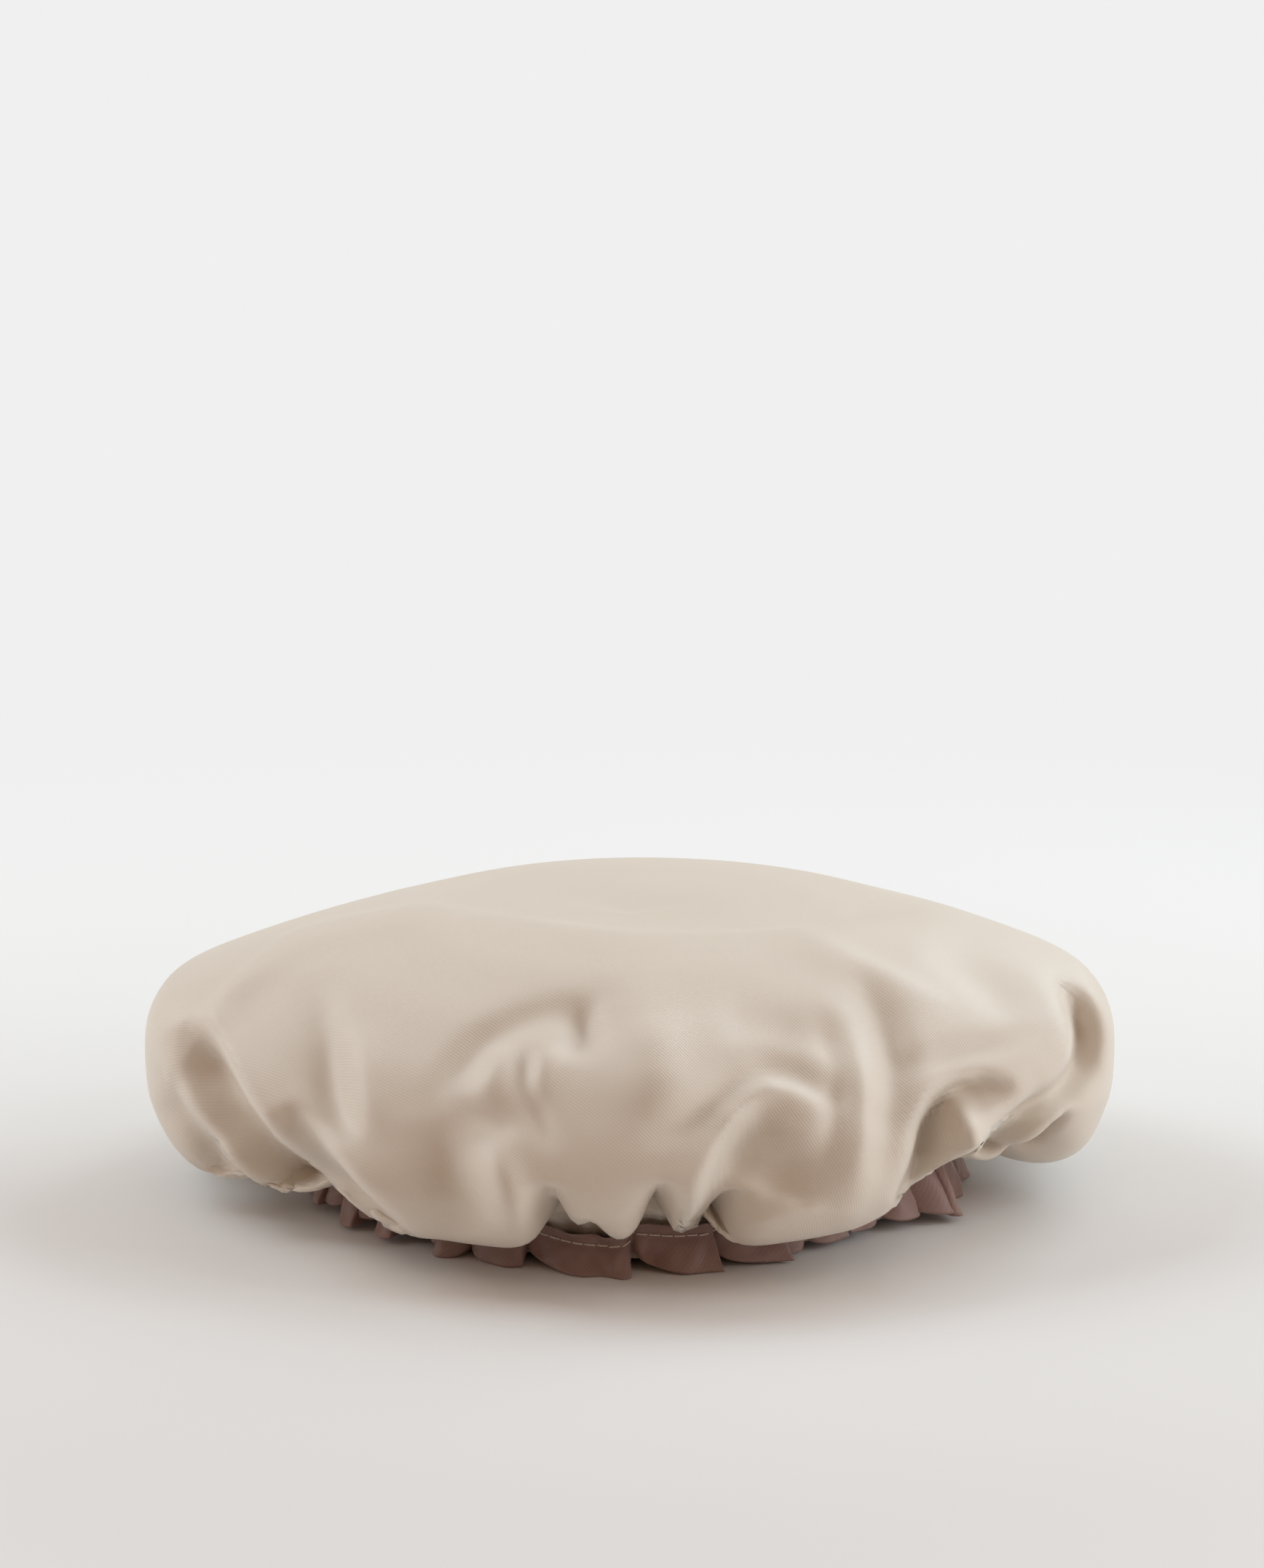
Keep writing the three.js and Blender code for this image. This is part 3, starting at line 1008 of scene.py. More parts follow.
@dataclass
class CapForm:
    """The puffed form of the cloth, as a function of arc from the middle of the crown and azimuth.

    A pair of cosines or arcs gives where something starts and where it is complete.

    Attributes:
        seam: The ring at which the cloth is gathered.
        radius: Plan radius at the belly of the flanks.
        height: Floor to the top of the crown.
        raw_edge: Floor to the raw edge inside the casing.
        view: The line of sight for which the creases of the front are drawn.
        neck_drop: How far below the end of its outline the cloth goes into the casing.
        neck_out: How far outside the seam it does so.
        side_cosines: Cosines of the azimuth between which the flank gives way to the front or the back.
        sag: How much lower the shoulder hangs at the left back.
        sag_azimuth: Where it hangs lowest, in radians.
        sag_spread: How far round the sag reaches, in radians.
        sag_arcs: The arcs over which the sag grows.
        sag_end_arcs: The arcs over which it fades again.
        pinch_out: How far outside the seam two puffs meet over the casing.
        pinch_height: Floor to that place.
        pinch_arc: Arc to it from the lowest place of the puffs.
        pinch_blend: The arc before and after it over which a fold ends.
        fold_power: How pointed a fold is.
        trough_share: The share of a fold's depth that a broad trough has.
        trough_width: How many times as wide as the fold the trough is.
        step: Spacing of the points of an outline.
        softness: The arc over which an outline is rounded.
        emphasis: How much deeper than drawn the creases are.
        wall: Half the width of the wall of cloth under an edge that hangs over.
        lap_reach: How far from such an edge the cloth is drawn along.
        path_steps: Steps along a crease for each of its points.
        bend: Over how many of those steps its corners are rounded, an odd number.
        facing_cosines: Cosines to the line of sight between which a crease comes to show.
        limb_cosines: Cosines of the azimuth from the eye between which it does so at the cap's sides.
        limb_arcs: Arcs over which the cap's sides are told from its crown.
        hem_arcs: Arcs past the lowest place over which creases fade.
        unseen_cosines: Cosines away from the front's line of sight between which the back's creases show.
        ripple: The depth of the fine gathers over the seam.
        ripple_arc: Arc from the lowest place of the puffs over which they deepen.
        arcs: Arcs of the points of the outlines.
        lowest: Arc of the lowest place of the puffs.
        lines: Radius and height at those arcs for the front, the flank and the back.
    """

    seam: SeamPath
    radius: float
    height: float
    raw_edge: float
    view: Sightline
    neck_drop: float = 3 * MM
    neck_out: float = 0.5 * MM
    side_cosines: Pair = (0.1, 0.95)
    sag: float = 2.3 * MM
    sag_azimuth: float = math.radians(-122)
    sag_spread: float = math.radians(38)
    sag_arcs: Pair = (50 * MM, 95 * MM)
    sag_end_arcs: Pair = (125 * MM, 160 * MM)
    pinch_out: float = 4 * MM
    pinch_height: float = 20.5 * MM
    pinch_arc: float = 17 * MM
    pinch_blend: float = 2 * MM
    fold_power: float = 1.2
    trough_share: float = 0.2
    trough_width: float = 2.5
    step: float = 0.5 * MM
    softness: float = 4 * MM
    emphasis: float = 1.4
    wall: float = 2.2 * MM
    lap_reach: float = 7 * MM
    path_steps: int = 10
    bend: int = 11
    facing_cosines: Pair = (-0.25, 0.1)
    limb_cosines: Pair = (0.0, 0.3)
    limb_arcs: Pair = (90 * MM, 120 * MM)
    hem_arcs: Pair = (2 * MM, 12 * MM)
    unseen_cosines: Pair = (0.08, 0.3)
    ripple: float = 0.8 * MM
    ripple_arc: float = 9 * MM
    arcs: np.ndarray = field(init=False)
    lowest: float = field(init=False)
    lines: list[np.ndarray] = field(init=False)

    def __post_init__(self) -> None:
        """Lays the three outlines out along one common arc."""
        corners = [self._corners(outline) for outline in (FRONT, FLANK, BACK)]
        lengths = [np.r_[0, np.cumsum(np.linalg.norm(np.diff(c, axis=0), axis=1))] for c in corners]
        common = np.mean(lengths, axis=0)
        self.arcs = np.arange(0, common[-1], self.step)
        self.lowest = float(common[len(FRONT.crown) + len(FRONT.under) - 2])
        drawn = [np.stack([np.interp(self.arcs, common, c[:, k]) for k in (0, 1)], 1) for c in corners]
        self.lines = [self._rounded(line) for line in drawn]

    def _corners(self, outline: Outline) -> np.ndarray:
        """The corners of an outline at the frame's size, from the middle of the crown to the raw edge.

        Args:
            outline: The outline.

        Returns:
            Rows of radius and height.
        """
        scale = np.array([self.radius / DRAWN_RADIUS, self.height / DRAWN_HEIGHT])
        drawn = np.array([(0.0, outline.crown[0][1]), *outline.crown, *outline.under]) * MM * scale
        neck = (self.seam.radius + self.neck_out, drawn[-1, 1] - self.neck_drop)
        return np.vstack([drawn, neck, (self.seam.radius, self.raw_edge)])

    def _rounded(self, line: np.ndarray) -> np.ndarray:
        """Rounds the corners of an outline.

        Args:
            line: Radius and height of evenly spaced points.

        Returns:
            The rounded line.
        """
        reach = int(3 * self.softness / self.step)
        offsets = np.arange(-reach, reach + 1) * self.step
        weights = np.exp(-0.5 * (offsets / self.softness) ** 2)
        weights /= weights.sum()
        before = line[reach:0:-1] * np.array([-1, 1])
        after = 2 * line[-1] - line[-2 : -reach - 2 : -1]
        longer = np.vstack([before, line, after])
        return np.stack([np.convolve(longer[:, k], weights, mode="valid") for k in (0, 1)], 1)

    def section(self, arc: np.ndarray, azimuth: np.ndarray) -> tuple[np.ndarray, np.ndarray]:
        """Radius and height of the smooth form.

        Args:
            arc: Arcs from the middle of the crown.
            azimuth: Azimuths in radians.

        Returns:
            The radii and the heights.
        """
        front = smoothstep(np.cos(azimuth), *self.side_cosines)
        back = smoothstep(-np.cos(azimuth), *self.side_cosines)
        shares = (front, 1 - front - back, back)
        radius, height = (
            sum(share * np.interp(arc, self.arcs, line[:, k]) for share, line in zip(shares, self.lines))
            for k in (0, 1)
        )
        off_sag = np.angle(np.exp(1j * (azimuth - self.sag_azimuth))) / self.sag_spread
        hung = smoothstep(arc, *self.sag_arcs) * (1 - smoothstep(arc, *self.sag_end_arcs))
        return np.maximum(radius, 0), height - self.sag * np.exp(-(off_sag**2)) * hung

    def smooth(self, arc: np.ndarray, azimuth: np.ndarray) -> np.ndarray:
        """Points of the smooth form at arcs from the middle of the crown and azimuths in radians."""
        return polar(*self.section(arc, azimuth), azimuth)

    def outward(self, arc: np.ndarray, azimuth: np.ndarray) -> np.ndarray:
        """Normals of the smooth form.

        Args:
            arc: Arcs from the middle of the crown.
            azimuth: Azimuths in radians.

        Returns:
            One unit row for each point.
        """
        turn = 0.01
        ahead = self.smooth(arc + self.step, azimuth) - self.smooth(np.maximum(arc - self.step, 0), azimuth)
        off_middle = np.maximum(arc, self.step)
        beside = self.smooth(off_middle, azimuth + turn) - self.smooth(off_middle, azimuth - turn)
        return unit_rows(np.cross(ahead, beside))

    def sculpted(self, arc: np.ndarray, azimuth: np.ndarray) -> np.ndarray:
        """Points of the form with its folds and creases.

        Args:
            arc: Arcs from the middle of the crown.
            azimuth: Azimuths in radians.

        Returns:
            One row for each point.
        """
        radius, height = self.section(arc, azimuth)
        for fold in FOLDS:
            radius, height = self._folded(fold, arc, azimuth, radius, height)
        gathers = GATHERS.at(azimuth) * smoothstep(arc, self.lowest, self.lowest + self.ripple_arc)
        points = polar(radius + self.ripple * gathers, height, azimuth)
        behind = points
        for view, creases in BACK_CREASES:
            behind = self._creased(behind, arc, azimuth, view, creases)
        away = -np.einsum("ij,ij->i", self.outward(arc, azimuth), unit_rows(self.view.eye() - points))
        unseen = smoothstep(away, *self.unseen_cosines)
        points = points + (behind - points) * unseen[:, None]
        return self._creased(points, arc, azimuth, self.view, CREASES)

    def _creased(
        self,
        points: np.ndarray,
        arc: np.ndarray,
        azimuth: np.ndarray,
        view: Sightline,
        creases: tuple[Crease, ...],
    ) -> np.ndarray:
        """Draws creases into the cloth along one line of sight.

        Args:
            points: The points so far.
            arc: Arcs from the middle of the crown.
            azimuth: Azimuths in radians.
            view: The line of sight.
            creases: What is drawn along it.

        Returns:
            The new points.
        """
        outward = self.outward(arc, azimuth)
        sight = unit_rows(view.eye() - self.smooth(arc, azimuth))
        facing = smoothstep(np.einsum("ij,ij->i", outward, sight), *self.facing_cosines)
        limb = 1 - smoothstep(np.cos(azimuth - math.radians(view.turn)), *self.limb_cosines)
        facing = facing * (1 - limb * smoothstep(arc, *self.limb_arcs))
        hem_start, hem_end = self.hem_arcs
        free = facing * (1 - smoothstep(arc, self.lowest + hem_start, self.lowest + hem_end))
        seen = view.place(points)
        between = unit_rows(outward + sight)
        for crease in creases:
            rise, sideways = self._crease_shift(crease, seen)
            way = sight if crease.lap else between
            nearer = self.emphasis * rise[:, None] * way
            points = points + (nearer + sideways @ view.axes()) * free[:, None]
        return points

    def _crease_line(self, crease: Crease) -> np.ndarray:
        """The path of a crease with its corners rounded.

        Args:
            crease: The crease.

        Returns:
            Rows of where it is seen and how far it comes towards the eye.
        """
        knots = np.array(crease.path) * MM
        along = np.linspace(0, len(knots) - 1, self.path_steps * len(knots))
        line = np.stack([np.interp(along, np.arange(len(knots)), knots[:, k]) for k in range(3)], 1)
        window = np.hanning(self.bend + 2)[1:-1] / np.hanning(self.bend + 2).sum()
        beyond = self.bend // 2
        padded = np.pad(line, ((beyond, beyond), (0, 0)), mode="reflect", reflect_type="odd")
        return np.stack([np.convolve(padded[:, k], window, mode="valid") for k in range(3)], 1)

    def _crease_shift(self, crease: Crease, seen: np.ndarray) -> tuple[np.ndarray, np.ndarray]:
        """How far a crease brings the cloth towards the eye and to the side.

        Args:
            crease: The crease.
            seen: Where the points are seen.

        Returns:
            The rise at each point, and its shift to the right and upwards as seen.
        """
        line = self._crease_line(crease)
        walk, rise = line[:, :2], line[:, 2]
        away = seen[:, None, :] - walk[None, :, :]
        distances = np.linalg.norm(away, axis=2)
        nearest = np.argmin(distances, axis=1)
        rows = np.arange(len(seen))
        distance = distances[rows, nearest]
        heading = unit_rows(np.gradient(walk, axis=0))[nearest]
        to_left = np.stack([-heading[:, 1], heading[:, 0]], 1)
        leftward = np.einsum("ij,ij->i", to_left, away[rows, nearest])
        left, right, lap = crease.left * MM, crease.right * MM, crease.lap * MM
        risen = rise[nearest] * np.exp(-((distance / np.where(leftward > 0, left, right)) ** 2))
        steep_side = 1 if left < right else -1
        past_wall = steep_side * leftward - min(left, right)
        share = rise[nearest] / np.abs(rise).max()
        near = np.exp(-((distance / self.lap_reach) ** 2))
        pull = lap * share * np.tanh(past_wall / self.wall) * near
        return risen, to_left * (steep_side * pull)[:, None]

    def _folded(
        self, fold: Fold, arc: np.ndarray, azimuth: np.ndarray, radius: np.ndarray, height: np.ndarray
    ) -> tuple[np.ndarray, np.ndarray]:
        """Draws one deep fold in.

        Args:
            fold: The fold.
            arc: Arcs from the middle of the crown.
            azimuth: Azimuths in radians.
            radius: Radii so far.
            height: Heights so far.

        Returns:
            The new radii and heights.
        """
        top, line = self._fold_start(fold)
        pinch = self.lowest + self.pinch_arc
        share = np.clip((arc - top) / (pinch - top), 0, 1)
        leaning = line + math.radians(fold.lean) * (1 - share)
        top_radius, top_height = self.section(np.array([top]), np.array([line]))
        straight_radius = top_radius + (self.seam.radius + self.pinch_out - top_radius) * share
        straight_height = top_height + (self.pinch_height - top_height) * share
        hoop = np.abs((azimuth - leaning + math.pi) % (2 * math.pi) - math.pi) * radius
        width = fold.width * MM
        narrow = np.exp(-((hoop / width) ** self.fold_power))
        trough = self.trough_share * np.exp(-((hoop / (self.trough_width * width)) ** 2))
        sewn = 1 - smoothstep(arc, pinch - self.pinch_blend, pinch + self.pinch_blend)
        below = np.where(arc > top, 1.0, 0.0)
        drawn = fold.depth * ((1 - self.trough_share) * narrow + trough) * below * sewn
        return radius + (straight_radius - radius) * drawn, height + (straight_height - height) * drawn

    def _fold_start(self, fold: Fold) -> tuple[float, float]:
        """Where a fold leaves the round of the puffs.

        Args:
            fold: The fold.

        Returns:
            The arc, and the azimuth of its foot in radians.
        """
        line = math.radians(fold.azimuth)
        _, heights = self.section(self.arcs, np.full(len(self.arcs), line))
        outside = self.arcs < self.lowest
        return float(np.interp(-fold.start * MM, -heights[outside], self.arcs[outside])), line


# Sheets of cloth


@dataclass
class RoundCut:
    """A round cut of cloth as a mesh of quads: a middle patch with rings round it.

    Attributes:
        reach: The radius of the cut.
        patch_steps: Quads along one side of the middle patch, an even number.
        patch_reach: The radius of the middle patch.
        patch_roundness: How round the patch is: 0 for a square, 1 for a disc.
        corner_fade: How soon the patch's corners fade out of the rings, as a power.
        wide_step: The spacing of the rings over the crown.
        fine_step: Their spacing near the gathered edge.
        fine_from: The arc from which the finer spacing is reached.
        fine_blend: The arc before it over which the spacing changes.
        arc: Arc of each vertex from the middle of the cut.
        azimuth: Azimuth of each vertex in radians.
        faces: Four vertex numbers for each face.
    """

    reach: float
    patch_steps: int = 100
    patch_reach: float = 66 * MM
    patch_roundness: float = 0.85
    corner_fade: int = 4
    wide_step: float = 2.6 * MM
    fine_step: float = 1.9 * MM
    fine_from: float = 140 * MM
    fine_blend: float = 40 * MM
    arc: np.ndarray = field(init=False)
    azimuth: np.ndarray = field(init=False)
    faces: np.ndarray = field(init=False)

    def __post_init__(self) -> None:
        """Lays the vertices and faces out on the flat cut."""
        steps = self.patch_steps
        line = np.linspace(-1, 1, steps + 1)
        across, along = np.meshgrid(line, line, indexing="ij")
        patch_x = across * np.sqrt(1 - self.patch_roundness * along**2 / 2)
        patch_y = along * np.sqrt(1 - self.patch_roundness * across**2 / 2)
        number = np.arange((steps + 1) ** 2).reshape(steps + 1, steps + 1)
        rim = np.r_[number[:-1, 0], number[-1, :-1], number[:0:-1, -1], number[0, :0:-1]]
        middle = np.stack([patch_x.ravel(), patch_y.ravel()], 1) * self.patch_reach
        edge = middle[rim]
        edge_reach = np.linalg.norm(edge, axis=1)
        heading = edge / edge_reach[:, None]
        places = [middle]
        loops = [rim]
        for level in self._ring_levels():
            share = (level - self.patch_reach) / (self.reach - self.patch_reach)
            reach = level + (edge_reach - self.patch_reach) * (1 - share) ** self.corner_fade
            loops.append(number.size + (len(loops) - 1) * len(rim) + np.arange(len(rim)))
            places.append(heading * reach[:, None])
        place = np.vstack(places)
        self.arc = np.linalg.norm(place, axis=1)
        self.azimuth = np.arctan2(place[:, 0], -place[:, 1])
        corners = [number[:-1, :-1], number[1:, :-1], number[1:, 1:], number[:-1, 1:]]
        patch = np.stack(corners, -1).reshape(-1, 4)
        bands = [
            np.stack([inner, outer, np.roll(outer, -1), np.roll(inner, -1)], 1)
            for inner, outer in zip(loops, loops[1:])
        ]
        self.faces = np.vstack([patch, *bands])

    def _ring_levels(self) -> list[float]:
        """The radii of the rings, closer together towards the edge.

        Returns:
            The radii, the last of which is the cut's own.
        """
        levels = [self.patch_reach]
        while levels[-1] < self.reach:
            fine = smoothstep(np.array(levels[-1]), self.fine_from - self.fine_blend, self.fine_from)
            levels.append(levels[-1] + self.wide_step + (self.fine_step - self.wide_step) * float(fine))
        stretch = (self.reach - self.patch_reach) / (levels[-1] - self.patch_reach)
        return [self.patch_reach + (level - self.patch_reach) * stretch for level in levels[1:]]

    def corner_places(self) -> np.ndarray:
        """The flat place of every face corner, one row for each, in the faces' order."""
        flat = np.stack([self.arc * np.sin(self.azimuth), -self.arc * np.cos(self.azimuth)], 1)
        return flat[self.faces.ravel()]


@dataclass(frozen=True)
class ClothSettling:
    """A cloth simulation that lets gathered cloth find its own small folds.

    Attributes:
        frames: How many steps it runs.
        enlargement: How much larger than life the cloth is while it settles.
        pressure: The air that fills the cap.
        weight: The share of gravity.
        held: How strongly the skirt keeps to its given form.
        crown_held: How strongly the taut crown does.
        crown_reach: The arc up to which the crown is taut.
        crown_fade: The arc after it over which the skirt takes over.
        slack: How much larger the unstretched cloth is than its given form.
        farthest: The most that a point may move.
        layer_gap: The least distance between two layers.
        feel: The settings that give the cloth the feel of satin.
    """

    frames: int = 30
    enlargement: float = 10.0
    pressure: float = 1.0
    weight: float = 0.2
    held: float = 0.8
    crown_held: float = 1.0
    crown_reach: float = 92 * MM
    crown_fade: float = 40 * MM
    slack: float = 1.012
    farthest: float = 10 * MM
    layer_gap: float = 0.6 * MM
    feel: tuple[tuple[str, float], ...] = (
        ("mass", 0.2),
        ("tension_stiffness", 12),
        ("compression_stiffness", 12),
        ("shear_stiffness", 4),
        ("bending_stiffness", 0.4),
        ("tension_damping", 10),
        ("compression_damping", 10),
        ("shear_damping", 6),
        ("bending_damping", 1),
        ("air_damping", 4),
        ("pin_stiffness", 1.0),
    )

    def run(self, cut: RoundCut, start: np.ndarray, rest: np.ndarray, sewn: np.ndarray) -> np.ndarray:
        """Settles a sheet.

        Args:
            cut: The sheet's mesh.
            start: Where its vertices start.
            rest: The unstretched sheet.
            sewn: True for vertices that the seam holds.

        Returns:
            Where its vertices come to rest.
        """
        cloth = mesh_object("cloth_at_work", start * self.enlargement, cut.faces.tolist())
        cloth.shape_key_add(name="form")
        pattern = cloth.shape_key_add(name="unstretched")
        pattern.data.foreach_set("co", (rest * self.enlargement).astype(np.float32).ravel())
        group = cloth.vertex_groups.new(name="held")
        crown = 1 - smoothstep(cut.arc, self.crown_reach, self.crown_reach + self.crown_fade)
        strength = np.where(sewn, 1.0, self.held + (self.crown_held - self.held) * crown)
        for vertex, weight in enumerate(strength.tolist()):
            group.add([vertex], weight, "REPLACE")
        modifier = cloth.modifiers.new("settle", "CLOTH")
        self._set_cloth(modifier, pattern, group.name)
        scene = bpy.context.scene
        for frame in range(1, self.frames + 1):
            scene.frame_set(frame)
        worked = cloth.evaluated_get(bpy.context.evaluated_depsgraph_get())
        settled = coordinates(worked.data) / self.enlargement
        bpy.data.objects.remove(cloth)
        scene.frame_set(1)
        move = settled - start
        length = np.linalg.norm(move, axis=1, keepdims=True)
        return start + move * np.minimum(1, self.farthest / np.maximum(length, TINY))

    def _set_cloth(self, modifier: bpy.types.ClothModifier, pattern: bpy.types.ShapeKey, group: str) -> None:
        """Gives the simulation the feel of satin.

        Args:
            modifier: The cloth modifier.
            pattern: The shape of the unstretched sheet.
            group: The vertex group that holds it.
        """
        satin = modifier.settings
        satin.quality = 6
        for name, value in self.feel:
            setattr(satin, name, value)
        satin.use_pressure = True
        satin.uniform_pressure_force = self.pressure
        satin.effector_weights.gravity = self.weight
        satin.vertex_group_mass = group
        satin.rest_shape_key = pattern
        touch = modifier.collision_settings
        touch.use_collision = False
        touch.use_self_collision = True
        touch.self_distance_min = self.layer_gap * self.enlargement
        modifier.point_cache.frame_start = 1
        modifier.point_cache.frame_end = self.frames


SETTLING = ClothSettling()


@dataclass
class OuterShell:
    """The puffed satin shell.

    Attributes:
        form: The cap's form.
        thickness: The thickness of the satin.
        easing: How often the drawn creases are eased before the cloth settles.
        sewn_arc: Arc from the lowest place of the puffs to where the seam holds the cloth.
        cut: The flat cut of the satin.
        points: Where its vertices have settled.
    """

    form: CapForm
    thickness: float = 0.4 * MM
    easing: int = 2
    sewn_arc: float = 9 * MM
    cut: RoundCut = field(init=False)
    points: np.ndarray = field(init=False)

    def __post_init__(self) -> None:
        """Cuts the cloth, places it on its form and lets it settle."""
        self.cut = RoundCut(float(self.form.arcs[-1]))
        drawn = self.form.sculpted(self.cut.arc, self.cut.azimuth)
        sewn = self.cut.arc > self.form.lowest + self.sewn_arc
        start = np.where(sewn[:, None], drawn, relaxed(drawn, self.cut.faces, self.easing))
        rest = start * SETTLING.slack
        self.points = SETTLING.run(self.cut, start, rest, sewn)

    def build(self) -> bpy.types.Object:
        """Makes the shell's piece.

        Returns:
            The piece.
        """
        made = mesh_object("satin_shell", self.points, self.cut.faces.tolist(), self.cut.corner_places())
        thicken(made, "satin_thickness", self.thickness, -1)
        attach(made, Piece.SHELL, SATIN.make())
        return made


@dataclass
class WaterproofLining:
    """The film inside the shell.

    Attributes:
        shell: The shell that it lies in.
        gap: The air between the shell and the film.
        thickness: The thickness of the film.
        reach: How many vertices away a fold of the shell still holds it in.
        easing: How often its folds are eased, since film bends less sharply than satin.
        slump: How far it stays above the gathered underside and inside it.
        slump_arcs: Arcs before the lowest place of the puffs over which it lifts off.
        seam_arcs: Arcs past that place over which it comes back to the shell at the seam.
        trim: How much smaller across than the satin the film is cut.
        core_radius: The radius of the ring inside the cap's roll from which its room is measured.
        core_height: The height of that ring.
    """

    shell: OuterShell
    gap: float = 0.8 * MM
    thickness: float = 0.2 * MM
    reach: int = 3
    easing: int = 5
    slump: float = 2.5 * MM
    slump_arcs: Pair = (14 * MM, 4 * MM)
    seam_arcs: Pair = (14 * MM, 22 * MM)
    trim: float = 10 * MM
    core_radius: float = 62 * MM
    core_height: float = 38 * MM

    def build(self) -> bpy.types.Object:
        """Makes the lining's piece.

        Returns:
            The piece.
        """
        cut = self.shell.cut
        form = self.shell.form
        outward = form.outward(cut.arc, cut.azimuth)
        depth = np.einsum("ij,ij->i", form.smooth(cut.arc, cut.azimuth) - self.shell.points, outward)
        deepest = depth
        for _ in range(self.reach):
            deepest = greatest_near(deepest, cut.faces)
        deepest = relaxed(deepest[:, None], cut.faces, self.easing)[:, 0]
        low = smoothstep(cut.arc, *(form.lowest - arc for arc in self.slump_arcs))
        at_seam = smoothstep(cut.arc, *(form.lowest + arc for arc in self.seam_arcs))
        normals = relaxed(vertex_normals(self.shell.points, cut.faces), cut.faces, self.easing)
        under_satin = (self.shell.thickness + self.gap) * unit_rows(normals)
        radial = polar(np.ones(len(low)), np.zeros(len(low)), cut.azimuth)
        raised = self.slump * (np.array([0.0, 0.0, 1.0]) - radial)
        inset = np.maximum(deepest - depth, 0)[:, None] * outward + under_satin
        over_floor = raised * (1 - at_seam)[:, None] - radial * (self.gap * at_seam)[:, None]
        points = self.shell.points - inset * (1 - low)[:, None] + over_floor * low[:, None]
        made = mesh_object("film_lining", self._kept_inside(points), cut.faces.tolist(), cut.corner_places())
        thicken(made, "film_thickness", self.thickness, -1)
        attach(made, Piece.LINING, FILM.make())
        return made

    def _kept_inside(self, points: np.ndarray) -> np.ndarray:
        """Draws the film back to where the shell leaves it room, as seen from inside the cap's own roll.

        Args:
            points: The film's points.

        Returns:
            The points, with those outside the shell or close to it drawn in.
        """
        cut = self.shell.cut
        satin = BVHTree.FromPolygons(self.shell.points.tolist(), cut.faces.tolist())
        count = len(points)
        middle = polar(np.full(count, self.core_radius), np.full(count, self.core_height), cut.azimuth)
        reach = np.linalg.norm(points - middle, axis=1)
        heading = (points - middle) / reach[:, None]
        rays = zip(middle, heading, reach)
        room = np.array([satin.ray_cast(Vector(start), Vector(way))[3] or far for start, way, far in rays])
        room = -greatest_near(-room, cut.faces)
        kept = np.minimum(reach, room - self.shell.thickness - self.gap)
        return middle + heading * kept[:, None]


# Gathered edge


@dataclass(frozen=True)
class Billow:
    """One puff of the gathered casing, from its own azimuth to the next one's, in millimetres.

    Attributes:
        azimuth: Where it starts, in degrees.
        flare: How far it stands out.
        overlap: How far its end lies over the next billow; below 0 its start lies over the one before.
        lift: How far its lower edge is off the floor where it is tucked in.
        hang: How far the lower edge of its middle is off the floor.
        drop: How far its middle pulls the seam down.
    """

    azimuth: float
    flare: float
    overlap: float
    lift: float
    hang: float = 0.0
    drop: float = 0.0


FRONT_BILLOWS = (
    Billow(-78, 5, -3, 3, 1.5),
    Billow(-71, 6.5, 3, 4, 2, 1),
    Billow(-66, 3.5, -3, 4, 3, -1.5),
    Billow(-60, 7, 3.5, 4.5, 1, 1.5),
    Billow(-54, 4, -2.5, 4, 3.5, -2),
    Billow(-49.5, 7.5, 3, 4.5, 1.5, 1),
    Billow(-44, 4.5, -2, 4, 3, -1),
    Billow(-40, 2.5, 1.5, 3.5, 2.5),
    Billow(-37, 3, 1.5, 3.5, 2),
    Billow(-33.5, 7, -2.5, 3.5, 0, 1),
    Billow(-28.5, 6, 3, 4, 0, 0.5),
    Billow(-18, 10, 4.5, 4.5, 0, 3),
    Billow(0.5, 8.5, 5.5, 5, 0.3, 0.5),
    Billow(14, 7.5, 6, 4.5, 0.8, 0.5),
    Billow(25.5, 4, -3, 4, 1.2),
    Billow(32, 2.5, 2, 4, 2),
    Billow(41, 3, -2, 4.5, 3),
    Billow(49.5, 8, 4, 5, 3, -3),
    Billow(56, 13, 4, 5, 3, -7),
    Billow(62, 13, -4, 5, 2, -8),
    Billow(68, 6, 3, 4, 0, -2),
)

# Limits of the billows at the rear: azimuths and widths in degrees, the rest in a billow's own order
BILLOW_SEED = 7
FIRST_REAR_BILLOW = 78.0
NARROWEST_BILLOW = 5
WIDEST_BILLOW = 16
LEAST_BILLOW = (4, -4, 3, 0, -2)
FULLEST_BILLOW = (9, 5, 4.5, 2, 3)


def billows_round() -> tuple[Billow, ...]:
    """The billows of the casing: those at the front as they lie, the rest spaced by a seeded draw.

    Returns:
        The billows in the order of their azimuths.
    """
    draw = np.random.default_rng(BILLOW_SEED)
    rest = []
    azimuth = FIRST_REAR_BILLOW
    last = 360 + FRONT_BILLOWS[0].azimuth - NARROWEST_BILLOW
    while azimuth < last:
        rest.append(Billow(azimuth, *draw.uniform(LEAST_BILLOW, FULLEST_BILLOW)))
        azimuth += draw.uniform(NARROWEST_BILLOW, WIDEST_BILLOW)
    return FRONT_BILLOWS + tuple(rest)


